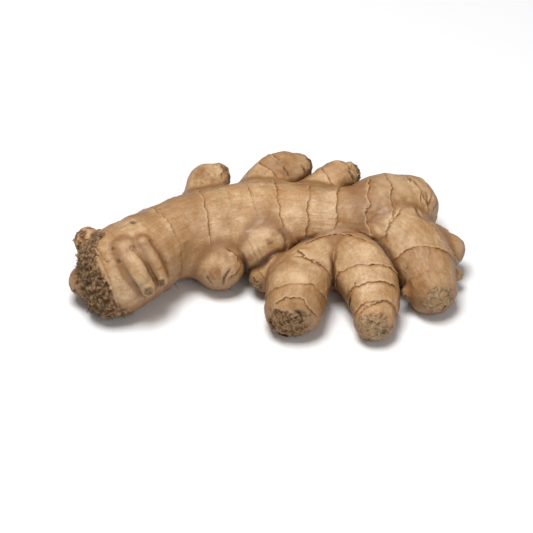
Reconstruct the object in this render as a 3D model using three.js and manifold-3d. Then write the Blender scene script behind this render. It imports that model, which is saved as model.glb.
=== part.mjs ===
// A whole ginger root (rhizome) lying on its flat side: one thick stem with branching fingers, knobs
// and buds, ringed by leaf scars, with a corky break at the left end. Everything grew as one piece, so
// it is one solid. Millimetres, +Z up, X along the root, -Y towards the front fingers, Z = 0 under it.
import * as THREE from "three";
import { mergeVertices } from "three/addons/utils/BufferGeometryUtils.js";
import Module from "manifold-3d";

// Centre of the finished outline in plan, which becomes the origin.
const PLAN_CENTRE = { x: -0.24, y: -2.35 };

// Skin relief: a leaf scar is a low ridge that rises slowly and drops sharply towards the tip.
const RIDGE_HEIGHT = 0.75;
const RIDGE_RISE = 2.2;
const RIDGE_DROP = 0.9;
const RIDGE_STEP = -0.2;
const SEGMENT_BULGE = 0.35;
const SHORT_SEGMENT = 8;
const SCAR_WANDER = 0.9;
const THREEFOLD_WANDER = 0.6;

// A finger isn't quite round: its radius swings twice and three times round it, by shares of the
// radius, and the swings turn by a radian in so many millimetres along it.
const TWOFOLD_SWING = 0.03;
const TWOFOLD_TURN = 19;
const THREEFOLD_SWING = 0.021;
const THREEFOLD_TURN = 13;

// Where two fingers meet, the skin swells over a share of the thinner one's radius: widely where one
// grows from the other, and little where they only lie side by side, which leaves a tight crease.
const GROWING_SHARE = 0.85;
const BESIDE_SHARE = 0.25;

// Bumps of a broken or dried tip.
const TIP_BUMP = 0.55;
const BREAK_BUMP = 1.3;
const BUMPS_ROUND = 5;
const BUMP_TURN = 0.9;
const BUMP_TWIST = 2;

const AXIS_STEP = 1.5;
const THICK_SIDES = 20;
const THICK_CAP_ROWS = 5;
const THIN_CAP_ROWS = 4;
const GOLDEN_ANGLE = 2.399963;

// Each finger follows path points [x, y, z, radius]. rings are the leaf scars, as distances from the
// first point. growsFrom names what carries it. roundness is the power of the end caps: 2 is a ball,
// more is blunter.
const FINGERS = [
  {
    name: "stem",
    path: [
      [-80.2, -27.6, 19.2, 17],
      [-73.8, -24.6, 20.4, 19.8],
      [-63, -15.8, 20.8, 20.8],
      [-50.3, -3.7, 21, 19.7],
      [-38.5, 3.2, 20.8, 19.8],
      [-23.9, 8.2, 20.8, 20],
      [-7.8, 11.6, 20.2, 19.3],
      [9.6, 13.6, 19.6, 18.4],
      [27.1, 13.2, 19, 17.6],
      [43.3, 12.6, 18.4, 16.2],
      [52.8, 15.6, 19.4, 17],
    ],
    rings: [9, 22, 31.5, 44, 56, 69.5, 83, 95.5, 111, 125.5, 138],
    sides: 28,
    capLength: 0.62,
    roundness: 2.8,
    broken: true,
  },
  {
    name: "head",
    path: [
      [47.4, 14.3, 19.5, 15],
      [61.6, 21.3, 20.2, 17.1],
      [69.8, 24.9, 19.6, 15.8],
    ],
    rings: [12.5, 23.5],
    sides: 22,
    growsFrom: "stem",
  },
  {
    name: "right finger",
    path: [
      [58, 8, 18, 15],
      [69.4, -4.4, 17.8, 15.8],
      [77, -17.5, 15.9, 14.5],
      [79.6, -27.5, 12.4, 12.8],
    ],
    rings: [10, 28.5, 41.5],
    sides: 22,
    growsFrom: "stem, head",
  },
  {
    name: "hand",
    path: [
      [36.7, 10, 14, 12],
      [36.2, -8, 12.6, 12.8],
    ],
    rings: [14.7],
    sides: 22,
    growsFrom: "stem",
  },
  {
    name: "front left finger",
    path: [
      [31.5, -9, 12.8, 11.8],
      [21, -17, 15.5, 13],
      [14.2, -31.5, 15.5, 14.7],
      [12.8, -41.2, 14.2, 14.6],
    ],
    rings: [8, 20.5, 38.5],
    sides: 22,
    growsFrom: "hand",
    roundness: 2.4,
  },
  {
    name: "front right finger",
    path: [
      [38.8, -9, 12.8, 12.3],
      [44.9, -19.4, 16.2, 14.8],
      [50.3, -33.4, 14, 13.6],
      [51.2, -47.4, 10.8, 10.7],
    ],
    rings: [8.5, 19, 31, 41.5],
    sides: 22,
    growsFrom: "hand",
  },
  {
    name: "side knob",
    path: [
      [4.5, -18, 15.5, 7.2],
      [-2.2, -17.9, 10.4, 7.1],
    ],
    rings: [5],
    sides: 10,
    growsFrom: "front left finger",
  },
  {
    name: "left knob",
    path: [
      [-29.1, -3.5, 18, 13],
      [-23.9, -12.9, 13.5, 11.6],
    ],
    rings: [10],
    sides: 22,
    growsFrom: "stem",
  },
  {
    name: "right knob",
    path: [
      [-5.8, 7, 19, 15],
      [-3.5, -4.1, 17.4, 13.5],
    ],
    rings: [],
    sides: 22,
    growsFrom: "stem",
  },
  {
    name: "back left finger",
    path: [
      [-37, 14, 20, 10.5],
      [-33.5, 26, 24, 9.5],
      [-31, 35.9, 26.3, 8.9],
      [-26.4, 38.6, 26.6, 7.2],
    ],
    rings: [18, 27],
    sides: 16,
    growsFrom: "stem",
  },
  {
    name: "back middle finger",
    path: [
      [-8, 22, 20, 10.5],
      [-3.2, 34.3, 24.8, 9.8],
      [5.7, 42.3, 27.6, 9.8],
      [13.4, 44.6, 27.2, 8.4],
    ],
    rings: [17, 26, 34],
    sides: 16,
    growsFrom: "stem",
  },
  {
    name: "back right finger",
    path: [
      [16, 20, 20, 9],
      [23, 31, 24, 8.2],
      [34.2, 38.9, 27.2, 7.9],
      [39.6, 40.3, 26.7, 6.8],
    ],
    rings: [16, 27],
    sides: 16,
    growsFrom: "stem",
  },
  {
    name: "right bump",
    path: [
      [83, -1.8, 17.5, 8.5],
      [90, -3.4, 14.5, 7.8],
    ],
    rings: [4],
    sides: 16,
    growsFrom: "right finger",
  },
  {
    name: "top bump of the break",
    path: [
      [-80, -13.5, 22, 9],
      [-89.1, -6.8, 24, 7],
    ],
    rings: [6],
    sides: 10,
    growsFrom: "stem",
    broken: true,
  },
  {
    name: "low bump of the break",
    path: [
      [-84, -25.7, 15, 9],
      [-91.7, -23.5, 12, 6.5],
    ],
    rings: [4],
    sides: 10,
    growsFrom: "stem",
    broken: true,
  },
  {
    name: "foot of the break",
    path: [
      [-74, -27, 13, 11],
      [-75.6, -31.5, 11, 10.5],
    ],
    rings: [],
    sides: 10,
    growsFrom: "stem",
    broken: true,
  },
  {
    name: "long bud",
    path: [
      [-61, -25.5, 38.2, 3.6],
      [-56.1, -30.7, 32.8, 3.5],
      [-51.4, -34.6, 23.4, 3.3],
    ],
    rings: [13],
    sides: 10,
    growsFrom: "stem",
  },
  {
    name: "wide bud",
    path: [
      [-69.2, -28.4, 37.7, 5],
      [-64.4, -36, 32, 5],
      [-58.4, -38.7, 22.6, 4.3],
    ],
    rings: [17],
    sides: 10,
    growsFrom: "stem",
  },
  {
    name: "right bud",
    path: [
      [88, -18, 11, 3.2],
      [93.1, -15.3, 9, 3],
    ],
    rings: [],
    sides: 8,
    growsFrom: "right finger",
  },
  {
    name: "low bud",
    path: [
      [72, -27.4, 12.5, 3.6],
      [68.2, -31.2, 12, 3.2],
    ],
    rings: [],
    sides: 8,
    growsFrom: "right finger",
  },
];

const UP = new THREE.Vector3(0, 0, 1);

// One finger: an axis curve with a radius, and the ringed skin around it.
class Finger {
  constructor(plan, number) {
    this.name = plan.name;
    this.growsFrom = (plan.growsFrom ?? "").split(", ");
    this.rings = plan.rings;
    this.sides = plan.sides;
    this.capLength = plan.capLength ?? 1;
    this.roundness = plan.roundness ?? 2.1;
    this.bump = plan.broken ? BREAK_BUMP : TIP_BUMP;
    this.phase = number * GOLDEN_ANGLE;
    const points = plan.path.map(([x, y, z]) => new THREE.Vector3(x, y, z));
    const radii = plan.path.map(([, , , r]) => new THREE.Vector3(r, 0, 0));
    this.curve = new THREE.CatmullRomCurve3(points, false, "catmullrom");
    this.radii = new THREE.CatmullRomCurve3(radii, false, "catmullrom");
    this.length = this.curve.getLength();
    this.thinnest = Math.min(...plan.path.map(([, , , r]) => r));
    const steps = Math.ceil(this.length / AXIS_STEP);
    this.balls = Array.from({ length: steps + 1 }, (_, i) => this.axisAt((i / steps) * this.length));
  }

  // Place, direction, sideways, top and radius of the axis at a distance from its first point. Past
  // either end the axis runs on straight.
  axisAt(distance) {
    const inside = THREE.MathUtils.clamp(distance, 0, this.length);
    const share = inside / this.length;
    const along = this.curve.getTangentAt(share);
    const centre = this.curve.getPointAt(share).addScaledVector(along, distance - inside);
    const radius = this.radii.getPoint(this.curve.getUtoTmapping(share)).x;
    const side = new THREE.Vector3().crossVectors(along, UP).normalize();
    const top = new THREE.Vector3().crossVectors(side, along);
    return { centre, along, side, top, radius };
  }

  nearestBall(point) {
    const gap = (ball) => ball.centre.distanceTo(point) - ball.radius;
    return this.balls.reduce((a, b) => (gap(a) < gap(b) ? a : b));
  }

  // Distance from a point to the skin, taken as balls threaded on the axis: less than 0 inside.
  distanceTo(point) {
    const ball = this.nearestBall(point);
    return ball.centre.distanceTo(point) - ball.radius;
  }

  // How far round the axis a leaf scar wanders to and fro.
  wander(angle) {
    const threefold = THREEFOLD_WANDER * Math.sin(3 * angle + 2 * this.phase);
    return SCAR_WANDER * (Math.sin(2 * angle + this.phase) + threefold);
  }

  // Profile stations: [distance, radius, relief] rows from the root's pole to the tip's pole.
  stations() {
    const first = this.axisAt(0).radius;
    const last = this.axisAt(this.length).radius;
    const cap = (radius, rows, place) =>
      Array.from({ length: rows }, (_, i) => {
        const u = Math.cos((i / rows) * (Math.PI / 2));
        const flat = (1 - u ** this.roundness) ** (1 / this.roundness);
        return { distance: place(u * radius * this.capLength), radius: radius * flat, relief: 0 };
      });
    const rows = this.rings.flatMap((ring) => [
      { distance: ring - RIDGE_RISE, relief: 0 },
      { distance: ring, relief: RIDGE_HEIGHT },
      { distance: ring + RIDGE_DROP, relief: RIDGE_STEP },
    ]);
    const marks = [0, ...this.rings, this.length];
    const middles = marks
      .slice(1)
      .map((mark, i) => ({ distance: (mark + marks[i]) / 2, relief: SEGMENT_BULGE, gap: mark - marks[i] }))
      .filter((row) => row.gap > SHORT_SEGMENT);
    const trunk = [{ distance: 0, relief: 0 }, ...rows, ...middles, { distance: this.length, relief: 0 }]
      .filter((row) => row.distance >= 0 && row.distance <= this.length)
      .sort((a, b) => a.distance - b.distance)
      .map((row) => ({ ...row, radius: this.axisAt(row.distance).radius }));
    const capRows = this.sides > THICK_SIDES ? THICK_CAP_ROWS : THIN_CAP_ROWS;
    const rootCap = cap(first, capRows, (x) => -x);
    const tipCap = cap(last, capRows, (x) => this.length + x).reverse();
    return [...rootCap, ...trunk, ...tipCap];
  }

  // A lathe turned from the stations and bent onto the axis, then made uneven, ringed and bumpy.
  geometry() {
    const stations = this.stations();
    const profile = stations.map((row) => new THREE.Vector2(row.radius, row.distance));
    const lathe = new THREE.LatheGeometry(profile, this.sides);
    lathe.deleteAttribute("normal");
    lathe.deleteAttribute("uv");
    const made = mergeVertices(lathe, 1e-4);
    const position = made.attributes.position;
    const reliefs = new Map(stations.map((row) => [row.distance.toFixed(3), row.relief]));
    for (let i = 0; i < position.count; i += 1) {
      const [x, distance, z] = [position.getX(i), position.getY(i), position.getZ(i)];
      const relief = reliefs.get(distance.toFixed(3)) ?? 0;
      const skin = this.skinPoint(Math.hypot(x, z), Math.atan2(z, x), distance, relief);
      position.setXYZ(i, skin.x, skin.y, skin.z);
    }
    return made;
  }

  skinPoint(round, angle, distance, relief) {
    const onTrunk = distance > 0 && distance < this.length;
    const shifted = onTrunk ? distance + this.wander(angle) : distance;
    const axis = this.axisAt(shifted);
    const twofold = TWOFOLD_SWING * Math.cos(2 * angle + this.phase + distance / TWOFOLD_TURN);
    const threefold = THREEFOLD_SWING * Math.cos(3 * angle - distance / THREEFOLD_TURN);
    const end = Math.max(distance - this.length, this.bump === BREAK_BUMP ? -distance : 0);
    const bumps = Math.sin(BUMPS_ROUND * angle + this.phase) * Math.sin(BUMP_TURN * distance + BUMP_TWIST * angle);
    const rise = relief + round * (twofold + threefold) + (end > 0 ? this.bump * bumps : 0);
    const scale = round > 0.01 ? (round + rise) / round : 1;
    return axis.centre
      .addScaledVector(axis.side, round * scale * Math.cos(angle))
      .addScaledVector(axis.top, round * scale * Math.sin(angle));
  }
}

function meetingWidth(one, two) {
  const grown = one.growsFrom.includes(two.name) || two.growsFrom.includes(one.name);
  return (grown ? GROWING_SHARE : BESIDE_SHARE) * Math.min(one.thinnest, two.thinnest);
}

// Swells a finger where its skin comes near another's: most at the crease itself, where it is a quarter
// of the meeting width, falling off as the square of the distance.
function swell(geometry, own, others) {
  const position = geometry.attributes.position;
  const point = new THREE.Vector3();
  for (let i = 0; i < position.count; i += 1) {
    point.fromBufferAttribute(position, i);
    const rises = others.map((other) => {
      const width = meetingWidth(own, other);
      return (width / 4) * Math.max(0, 1 - Math.abs(other.distanceTo(point)) / width) ** 2;
    });
    const outward = point.clone().sub(own.nearestBall(point).centre).normalize();
    point.addScaledVector(outward, Math.max(...rises));
    position.setXYZ(i, point.x, point.y, point.z);
  }
  return geometry;
}

const wasm = await Module();
wasm.setup();

function solidOf(geometry) {
  const merged = mergeVertices(geometry, 1e-4);
  return new wasm.Manifold(
    new wasm.Mesh({
      numProp: 3,
      vertProperties: merged.attributes.position.array,
      triVerts: new Uint32Array(merged.index.array),
    }),
  );
}

// A block whose top face is the surface that the root lies on: it trims the low points flat.
function tableBlock() {
  const size = 400;
  const block = new THREE.BoxGeometry(size, size, size).translate(0, 0, -size / 2);
  block.deleteAttribute("normal");
  block.deleteAttribute("uv");
  return solidOf(block);
}

function geometryOf(solid) {
  const mesh = solid.getMesh();
  const geometry = new THREE.BufferGeometry();
  geometry.setAttribute("position", new THREE.BufferAttribute(mesh.vertProperties, 3));
  geometry.setIndex(new THREE.BufferAttribute(mesh.triVerts, 1));
  geometry.computeVertexNormals();
  return geometry;
}

const fingers = FINGERS.map((plan, number) => new Finger(plan, number + 1));
const fused = fingers
  .map((finger) => solidOf(swell(finger.geometry(), finger, fingers.filter((other) => other !== finger))))
  .reduce((whole, piece) => whole.add(piece))
  .subtract(tableBlock());

// Where two skins graze each other a crumb can come loose: only the root itself is kept.
const root = fused.decompose().reduce((a, b) => (a.volume() > b.volume() ? a : b));

const skin = new THREE.MeshStandardMaterial({ color: 0xc39a6b, roughness: 0.55, metalness: 0 });
const mesh = new THREE.Mesh(geometryOf(root), skin);
mesh.name = "ginger_root";
mesh.position.set(-PLAN_CENTRE.x, -PLAN_CENTRE.y, 0);

const part = new THREE.Group();
part.add(mesh);

export default part;
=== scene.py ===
"""A whole ginger root lying on its flat side, dressed for close views.

The skin is one closed mesh drawn round the same fingers as the solid: distances to the fingers are
worked out on a grid, their zero surface is netted, and leaf scars, fibres, wrinkles, corky tips and the
torn left end are raised on it. Papery scale edges, dry tip scales and root fibres are pieces of
their own. Lengths are millimetres until a mesh is stored, which is in metres.
"""

import logging
import math
from dataclasses import dataclass, field
from enum import Enum
from typing import Sequence

import bpy
import numpy as np
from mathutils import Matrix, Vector


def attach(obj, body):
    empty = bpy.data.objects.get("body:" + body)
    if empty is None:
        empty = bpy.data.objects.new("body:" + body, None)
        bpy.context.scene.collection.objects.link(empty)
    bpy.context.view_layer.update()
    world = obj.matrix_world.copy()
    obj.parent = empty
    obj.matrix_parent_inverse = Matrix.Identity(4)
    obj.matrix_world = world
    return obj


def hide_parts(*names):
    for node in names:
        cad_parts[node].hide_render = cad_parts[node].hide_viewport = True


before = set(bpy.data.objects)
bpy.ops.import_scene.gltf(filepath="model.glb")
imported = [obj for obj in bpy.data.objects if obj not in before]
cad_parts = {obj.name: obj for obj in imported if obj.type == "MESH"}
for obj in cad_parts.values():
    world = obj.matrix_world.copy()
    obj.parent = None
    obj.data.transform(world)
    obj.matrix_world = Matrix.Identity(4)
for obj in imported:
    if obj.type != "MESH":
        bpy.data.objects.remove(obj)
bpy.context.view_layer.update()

Array = np.ndarray
Point = tuple[float, float, float]
Tint = tuple[float, float, float, float]
log = logging.getLogger("ginger_root")

MM = 0.001
NODE = "ginger_root"
BODY = "root"

# Centre of the finished outline in plan, which the solid takes as its origin.
PLAN_SHIFT = np.array([0.24, 2.35, 0.0])

# Shape of the body, shared with the solid.
GROWING_SHARE = 0.85
BESIDE_SHARE = 0.25
TWOFOLD_SWING = 0.03
TWOFOLD_TURN = 19.0
THREEFOLD_SWING = 0.021
THREEFOLD_TURN = 13.0
SCAR_WANDER = 0.9
THREEFOLD_WANDER = 0.6
GOLDEN_ANGLE = 2.399963
AXIS_STEP = 0.5
UP = np.array([0.0, 0.0, 1.0])
FAR = 40.0
NEAR_MARGIN = 12.0

# Netting of the skin, with the corners of the space that is searched.
NET_LOW = np.array([-102.0, -61.0, -4.0])
NET_HIGH = np.array([102.0, 61.0, 47.0])
FINE_STEP = 0.8
COARSE_RATIO = 3
BAND = 2.4
SLOPE_STEP = 0.05
SETTLE_ROUNDS = 3

SEED = 14


def ramp(low: float, high: float, value: Array) -> Array:
    """A smooth rise from 0 at low to 1 at high: 3t^2 - 2t^3 of the share t of the way.

    Args:
        low: Value at which the rise starts.
        high: Value at which it ends.
        value: Values to map.

    Returns:
        The risen values, from 0 to 1.
    """
    share = np.clip((value - low) / (high - low), 0.0, 1.0)
    return share * share * (3.0 - 2.0 * share)


def hump(value: Array, width: float) -> Array:
    """A bell round zero: e to the power of minus (value / width) squared."""
    return np.exp(-((value / width) ** 2))


class Noise:
    """Seeded gradient noise: at each whole-numbered corner stands a random slope, and between the
    corners the slopes' heights are blended by the quintic ease 6t^5 - 15t^4 + 10t^3."""

    def __init__(self, seed: int) -> None:
        """Draws the order and the slopes of the corners from a seed.

        Args:
            seed: Seed of the draws.
        """
        draw = np.random.default_rng(seed)
        self._order = np.tile(draw.permutation(256), 2)
        slopes = draw.normal(size=(256, 3))
        self._slopes = slopes / np.linalg.norm(slopes, axis=1, keepdims=True)

    def at(self, points: Array) -> Array:
        """Noise at points.

        Args:
            points: Rows of three coordinates, in units of the noise's own grain.

        Returns:
            One value per row, from about -0.8 to 0.8.
        """
        floor = np.floor(points)
        inside = points - floor
        corner = floor.astype(np.int64) & 255
        ease = inside**3 * (inside * (inside * 6.0 - 15.0) + 10.0)
        total = np.zeros(len(points))
        order = self._order
        for dx in (0, 1):
            for dy in (0, 1):
                for dz in (0, 1):
                    key = order[order[order[corner[:, 0] + dx] + corner[:, 1] + dy] + corner[:, 2] + dz]
                    step = np.array([dx, dy, dz])
                    height = np.einsum("ij,ij->i", self._slopes[key], inside - step)
                    weight = np.where(step, ease, 1.0 - ease).prod(axis=1)
                    total += weight * height
        return total

    def layered(self, points: Array, layers: int = 3, gain: float = 0.5) -> Array:
        """Sum of layers of noise, each twice as fine and gain times as high as the one before.

        Args:
            points: Places.
            layers: How many layers.
            gain: Strength ratio.

        Returns:
            One value a point.
        """
        total = np.zeros(len(points))
        height = 1.0
        for layer in range(layers):
            total += height * self.at(points * 2.03**layer + 17.3 * layer)
            height *= gain
        return total

    def ridged(self, points: Array, layers: int = 2) -> Array:
        """Sharp crests where the noise crosses zero: 1 - 2|noise|, layered, from about -1 to 1.

        Args:
            points: Places.
            layers: How many layers.

        Returns:
            One value a point.
        """
        total = np.zeros(len(points))
        height = 1.0
        for layer in range(layers):
            total += height * (1.0 - 3.2 * np.abs(self.at(points * 2.1**layer + 31.7 * layer)))
            height *= 0.5
        return total / 1.5


@dataclass(frozen=True)
class Scar:
    """A leaf scar round a finger: where it is along the axis, its tilt and how strongly it shows."""

    at: float
    lean: float = 0.0
    toward: float = 0.0
    height: float = 1.0


@dataclass
class Finger:
    """One finger of the root: an axis curve with a radius, and the scars that ring it.

    The axis is a Catmull-Rom curve through the path's points, tabled at even steps of its length.
    """

    name: str
    path: Sequence[tuple[float, float, float, float]]
    scars: Sequence[Scar] = ()
    grows_from: str = ""
    cap_length: float = 1.0
    roundness: float = 2.1
    broken: bool = False
    number: int = 0

    def table(self, number: int) -> "Finger":
        """Works out the axis table.

        A point between knots 1 and 2 is the cubic that passes through both with slopes of half the
        step between their neighbours; the ends are continued straight.

        Args:
            number: Place of the finger in the list, from 1, which sets the phase of its unevenness.

        Returns:
            The finger itself.
        """
        self.number = number
        self.phase = number * GOLDEN_ANGLE
        knots = np.array(self.path, float)
        padded = np.vstack([2 * knots[0] - knots[1], knots, 2 * knots[-1] - knots[-2]])
        place = np.linspace(0, len(knots) - 1, 60 * (len(knots) - 1) + 1)
        first = np.minimum(place.astype(int), len(knots) - 2)
        t = (place - first)[:, None]
        before, start, end, after = (padded[first + k] for k in range(4))
        curve = (2 * t**3 - 3 * t**2 + 1) * start + (t**3 - 2 * t**2 + t) * (end - before) / 2
        curve += (3 * t**2 - 2 * t**3) * end + (t**3 - t**2) * (after - start) / 2
        run = np.concatenate([[0], np.cumsum(np.linalg.norm(np.diff(curve[:, :3], axis=0), axis=1))])
        self.length = float(run[-1])
        self.distance = np.linspace(0, self.length, max(3, math.ceil(self.length / AXIS_STEP) + 1))
        rows = np.stack([np.interp(self.distance, run, curve[:, k]) for k in range(4)], axis=1)
        self.centre = rows[:, :3]
        self.radius = rows[:, 3]
        along = np.gradient(self.centre, self.distance, axis=0)
        self.along = along / np.linalg.norm(along, axis=1, keepdims=True)
        side = np.cross(self.along, UP)
        self.side = side / np.linalg.norm(side, axis=1, keepdims=True)
        self.top = np.cross(self.side, self.along)
        self.thinnest = float(min(knots[:, 3]))
        self.low = self.centre.min(axis=0) - self.radius.max() - NEAR_MARGIN
        self.high = self.centre.max(axis=0) + self.radius.max() + NEAR_MARGIN
        return self

    def axis(self, distance: Array) -> tuple[Array, Array, Array, Array, Array]:
        """Centre, direction, sideways, top and radius along the axis, which runs straight past its ends.

        Args:
            distance: Distances along it.

        Returns:
            The five, a row each distance.
        """
        inside = np.clip(distance, 0, self.length)
        place = inside / self.length * (len(self.distance) - 1)
        low = np.minimum(place.astype(int), len(self.distance) - 2)
        share = (place - low)[:, None]
        tables = (self.centre, self.along, self.side, self.top)
        parts = [table[low] * (1 - share) + table[low + 1] * share for table in tables]
        radius = self.radius[low] * (1 - share[:, 0]) + self.radius[low + 1] * share[:, 0]
        centre = parts[0] + parts[1] * (distance - inside)[:, None]
        return centre, parts[1], parts[2], parts[3], radius

    def locate(self, points: Array) -> tuple[Array, Array, Array, Array]:
        """Finger coordinates of points: distance along the axis, angle round it, distance from it, radius.

        The foot of the perpendicular is the lowest point of the parabola through the squared distances
        to the nearest row of the table and its two neighbours; at an end it is the projection on the
        end's direction.

        Args:
            points: Rows of x, y, z.

        Returns:
            Distance along, angle, distance out and the finger's radius there.
        """
        rows, places = self.centre[::3], self.distance[::3]
        gap = (rows**2).sum(axis=1) - 2.0 * points @ rows.T
        nearest = gap.argmin(axis=1)
        middle = np.clip(nearest, 1, len(rows) - 2)
        before, here, after = (gap[np.arange(len(points)), middle + k] for k in (-1, 0, 1))
        bend = np.maximum(before - 2 * here + after, 0.2 * places[1] ** 2)
        distance = places[middle] + np.clip((before - after) / (2 * bend), -1, 1) * places[1]
        end = (nearest == 0) | (nearest == len(rows) - 1)
        centre, along, _, _, _ = self.axis(places[nearest[end]])
        distance[end] = places[nearest[end]] + np.einsum("ij,ij->i", points[end] - centre, along)
        centre, _, side, top, radius = self.axis(distance)
        out = points - centre
        across = np.einsum("ij,ij->i", out, side)
        over = np.einsum("ij,ij->i", out, top)
        return distance, np.arctan2(over, across), np.hypot(across, over), radius

    def gap(self, points: Array) -> Array:
        """Distance from points to the finger's skin, less than 0 inside.

        On the trunk it is the distance from the axis less the radius. Past an end the skin is the
        superellipse (out / radius)^p + (past / cap)^p = 1. The radius is uneven: it swings by a cosine
        of twice and of three times the angle.

        Args:
            points: Rows of x, y, z.

        Returns:
            One gap per row.
        """
        distance, angle, out, radius = self.locate(points)
        past = np.maximum(distance - self.length, 0) + np.maximum(-distance, 0)
        cap = past / self.cap_length
        power = self.roundness
        reach = (out**power + cap**power) ** (1 / power)
        flat = np.hypot(out, past)
        squeeze = np.where(past > 0, flat / np.maximum(np.hypot(out, cap / self.cap_length), 1e-6), 1.0)
        uneven = TWOFOLD_SWING * np.cos(2 * angle + self.phase + distance / TWOFOLD_TURN)
        uneven += THREEFOLD_SWING * np.cos(3 * angle - distance / THREEFOLD_TURN)
        return (reach - radius) * squeeze - np.minimum(out, radius) * uneven

    def line(self, scar: Scar, angle: Array) -> Array:
        """Distance along the axis of a scar at angles round it: it leans to one side and wanders as
        a sine of twice and three times the angle.

        Args:
            scar: The scar.
            angle: Angles round it.

        Returns:
            The distances.
        """
        wander = np.sin(2 * angle + self.phase) + THREEFOLD_WANDER * np.sin(3 * angle + 2 * self.phase)
        size = min(1.0, self.thinnest / 9.0)
        return scar.at + scar.lean * np.cos(angle - scar.toward) + SCAR_WANDER * size * wander


def rings(*places: float) -> tuple[Scar, ...]:
    """Plain scars at distances along a finger."""
    return tuple(Scar(place) for place in places)


FINGERS = [
    Finger(
        "stem",
        [
            (-80.2, -27.6, 19.2, 17), (-73.8, -24.6, 20.4, 19.8), (-63, -15.8, 20.8, 20.8),
            (-50.3, -3.7, 21, 19.7), (-38.5, 3.2, 20.8, 19.8), (-23.9, 8.2, 20.8, 20),
            (-7.8, 11.6, 20.2, 19.3), (9.6, 13.6, 19.6, 18.4), (27.1, 13.2, 19, 17.6),
            (43.3, 12.6, 18.4, 16.2), (52.8, 15.6, 19.4, 17),
        ],
        [
            Scar(9, 0, 0, 0.6), Scar(22, 3, 2.3, 0.5), Scar(31.5, 5, 2.1, 0.7), Scar(44, 2, 2.1, 0.3),
            Scar(56, 4, 2.1, 0.9), Scar(69.5, 2.5, 1.7, 0.35), Scar(83, 0, 0, 0.6),
            Scar(95.5, 0.8, 0.9, 0.8), Scar(111, 1.2, 1.9, 0.8), Scar(125.5, 1, 2.1, 1.2),
        ],
        cap_length=0.62,
        roundness=2.8,
        broken=True,
    ),
    Finger(
        "head",
        [(47.4, 14.3, 19.5, 15), (61.6, 21.3, 20.2, 17.1), (69.8, 24.9, 19.6, 15.8)],
        [Scar(23.5, 2.5, 0.9, 0.8)],
        grows_from="stem",
    ),
    Finger(
        "right finger",
        [(58, 8, 18, 15), (69.4, -4.4, 17.8, 15.8), (77, -17.5, 15.9, 14.5), (79.6, -27.5, 12.4, 12.8)],
        [Scar(10, 3, -0.5, 0.6), Scar(28.5, 6, 2.7, 0.9), Scar(41.5, 2, 2.7, 0.35)],
        grows_from="stem, head",
    ),
    Finger(
        "hand",
        [(36.7, 10, 14, 12), (36.2, -8, 12.6, 12.8)],
        grows_from="stem",
    ),
    Finger(
        "front left finger",
        [(31.5, -9, 12.8, 11.8), (21, -17, 15.5, 13), (14.2, -31.5, 15.5, 14.7), (12.8, -41.2, 14.2, 14.6)],
        [Scar(20.5, 1, 2.2, 0.8), Scar(38.5, 0, 0, 0.7)],
        grows_from="hand",
        roundness=2.4,
    ),
    Finger(
        "front right finger",
        [
            (38.8, -9, 12.8, 12.3), (44.9, -19.4, 16.2, 14.8), (50.3, -33.4, 14, 13.6),
            (51.2, -47.4, 10.8, 10.7),
        ],
        [Scar(19, 5, 2.5, 1), Scar(31, 0, 0, 1.1), Scar(41.5, 1.5, -0.5, 0.8)],
        grows_from="hand",
    ),
    Finger(
        "side knob",
        [(4.5, -18, 15.5, 7.2), (-2.2, -17.9, 10.4, 7.1)],
        rings(5),
        grows_from="front left finger",
    ),
    Finger("left knob", [(-29.1, -3.5, 18, 13), (-23.9, -12.9, 13.5, 11.6)], grows_from="stem"),
    Finger("right knob", [(-5.8, 7, 19, 15), (-3.5, -4.1, 17.4, 13.5)], grows_from="stem"),
    Finger(
        "back left finger",
        [(-37, 14, 20, 10.5), (-33.5, 26, 24, 9.5), (-31, 35.9, 26.3, 8.9), (-26.4, 38.6, 26.6, 7.2)],
        grows_from="stem",
    ),
    Finger(
        "back middle finger",
        [(-8, 22, 20, 10.5), (-3.2, 34.3, 24.8, 9.8), (5.7, 42.3, 27.6, 9.8), (13.4, 44.6, 27.2, 8.4)],
        rings(20),
        grows_from="stem",
    ),
    Finger(
        "back right finger",
        [(16, 20, 20, 9), (23, 31, 24, 8.2), (34.2, 38.9, 27.2, 7.9), (39.6, 40.3, 26.7, 6.8)],
        rings(22),
        grows_from="stem",
    ),
    Finger(
        "right bump",
        [(83, -1.8, 17.5, 8.5), (90, -3.4, 14.5, 7.8)],
        rings(4),
        grows_from="right finger",
    ),
    Finger(
        "top bump of the break",
        [(-80, -13.5, 22, 9), (-89.1, -6.8, 24, 7)],
        rings(6),
        grows_from="stem",
        broken=True,
    ),
    Finger(
        "low bump of the break",
        [(-84, -25.7, 15, 9), (-91.7, -23.5, 12, 6.5)],
        rings(4),
        grows_from="stem",
        broken=True,
    ),
    Finger(
        "foot of the break",
        [(-74, -27, 13, 11), (-75.6, -31.5, 11, 10.5)],
        grows_from="stem",
        broken=True,
    ),
    Finger(
        "long bud",
        [(-61, -25.5, 38.2, 3.6), (-56.1, -30.7, 32.8, 3.5), (-51.4, -34.6, 23.4, 3.3)],
        rings(13),
        grows_from="stem",
    ),
    Finger(
        "wide bud",
        [(-69.2, -28.4, 37.7, 5), (-64.4, -36, 32, 5), (-58.4, -38.7, 22.6, 4.3)],
        rings(17),
        grows_from="stem",
    ),
    Finger("right bud", [(88, -18, 11, 3.2), (93.1, -15.3, 9, 3)], grows_from="right finger"),
    Finger("low bud", [(72, -27.4, 12.5, 3.6), (68.2, -31.2, 12, 3.2)], grows_from="right finger"),
]


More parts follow.
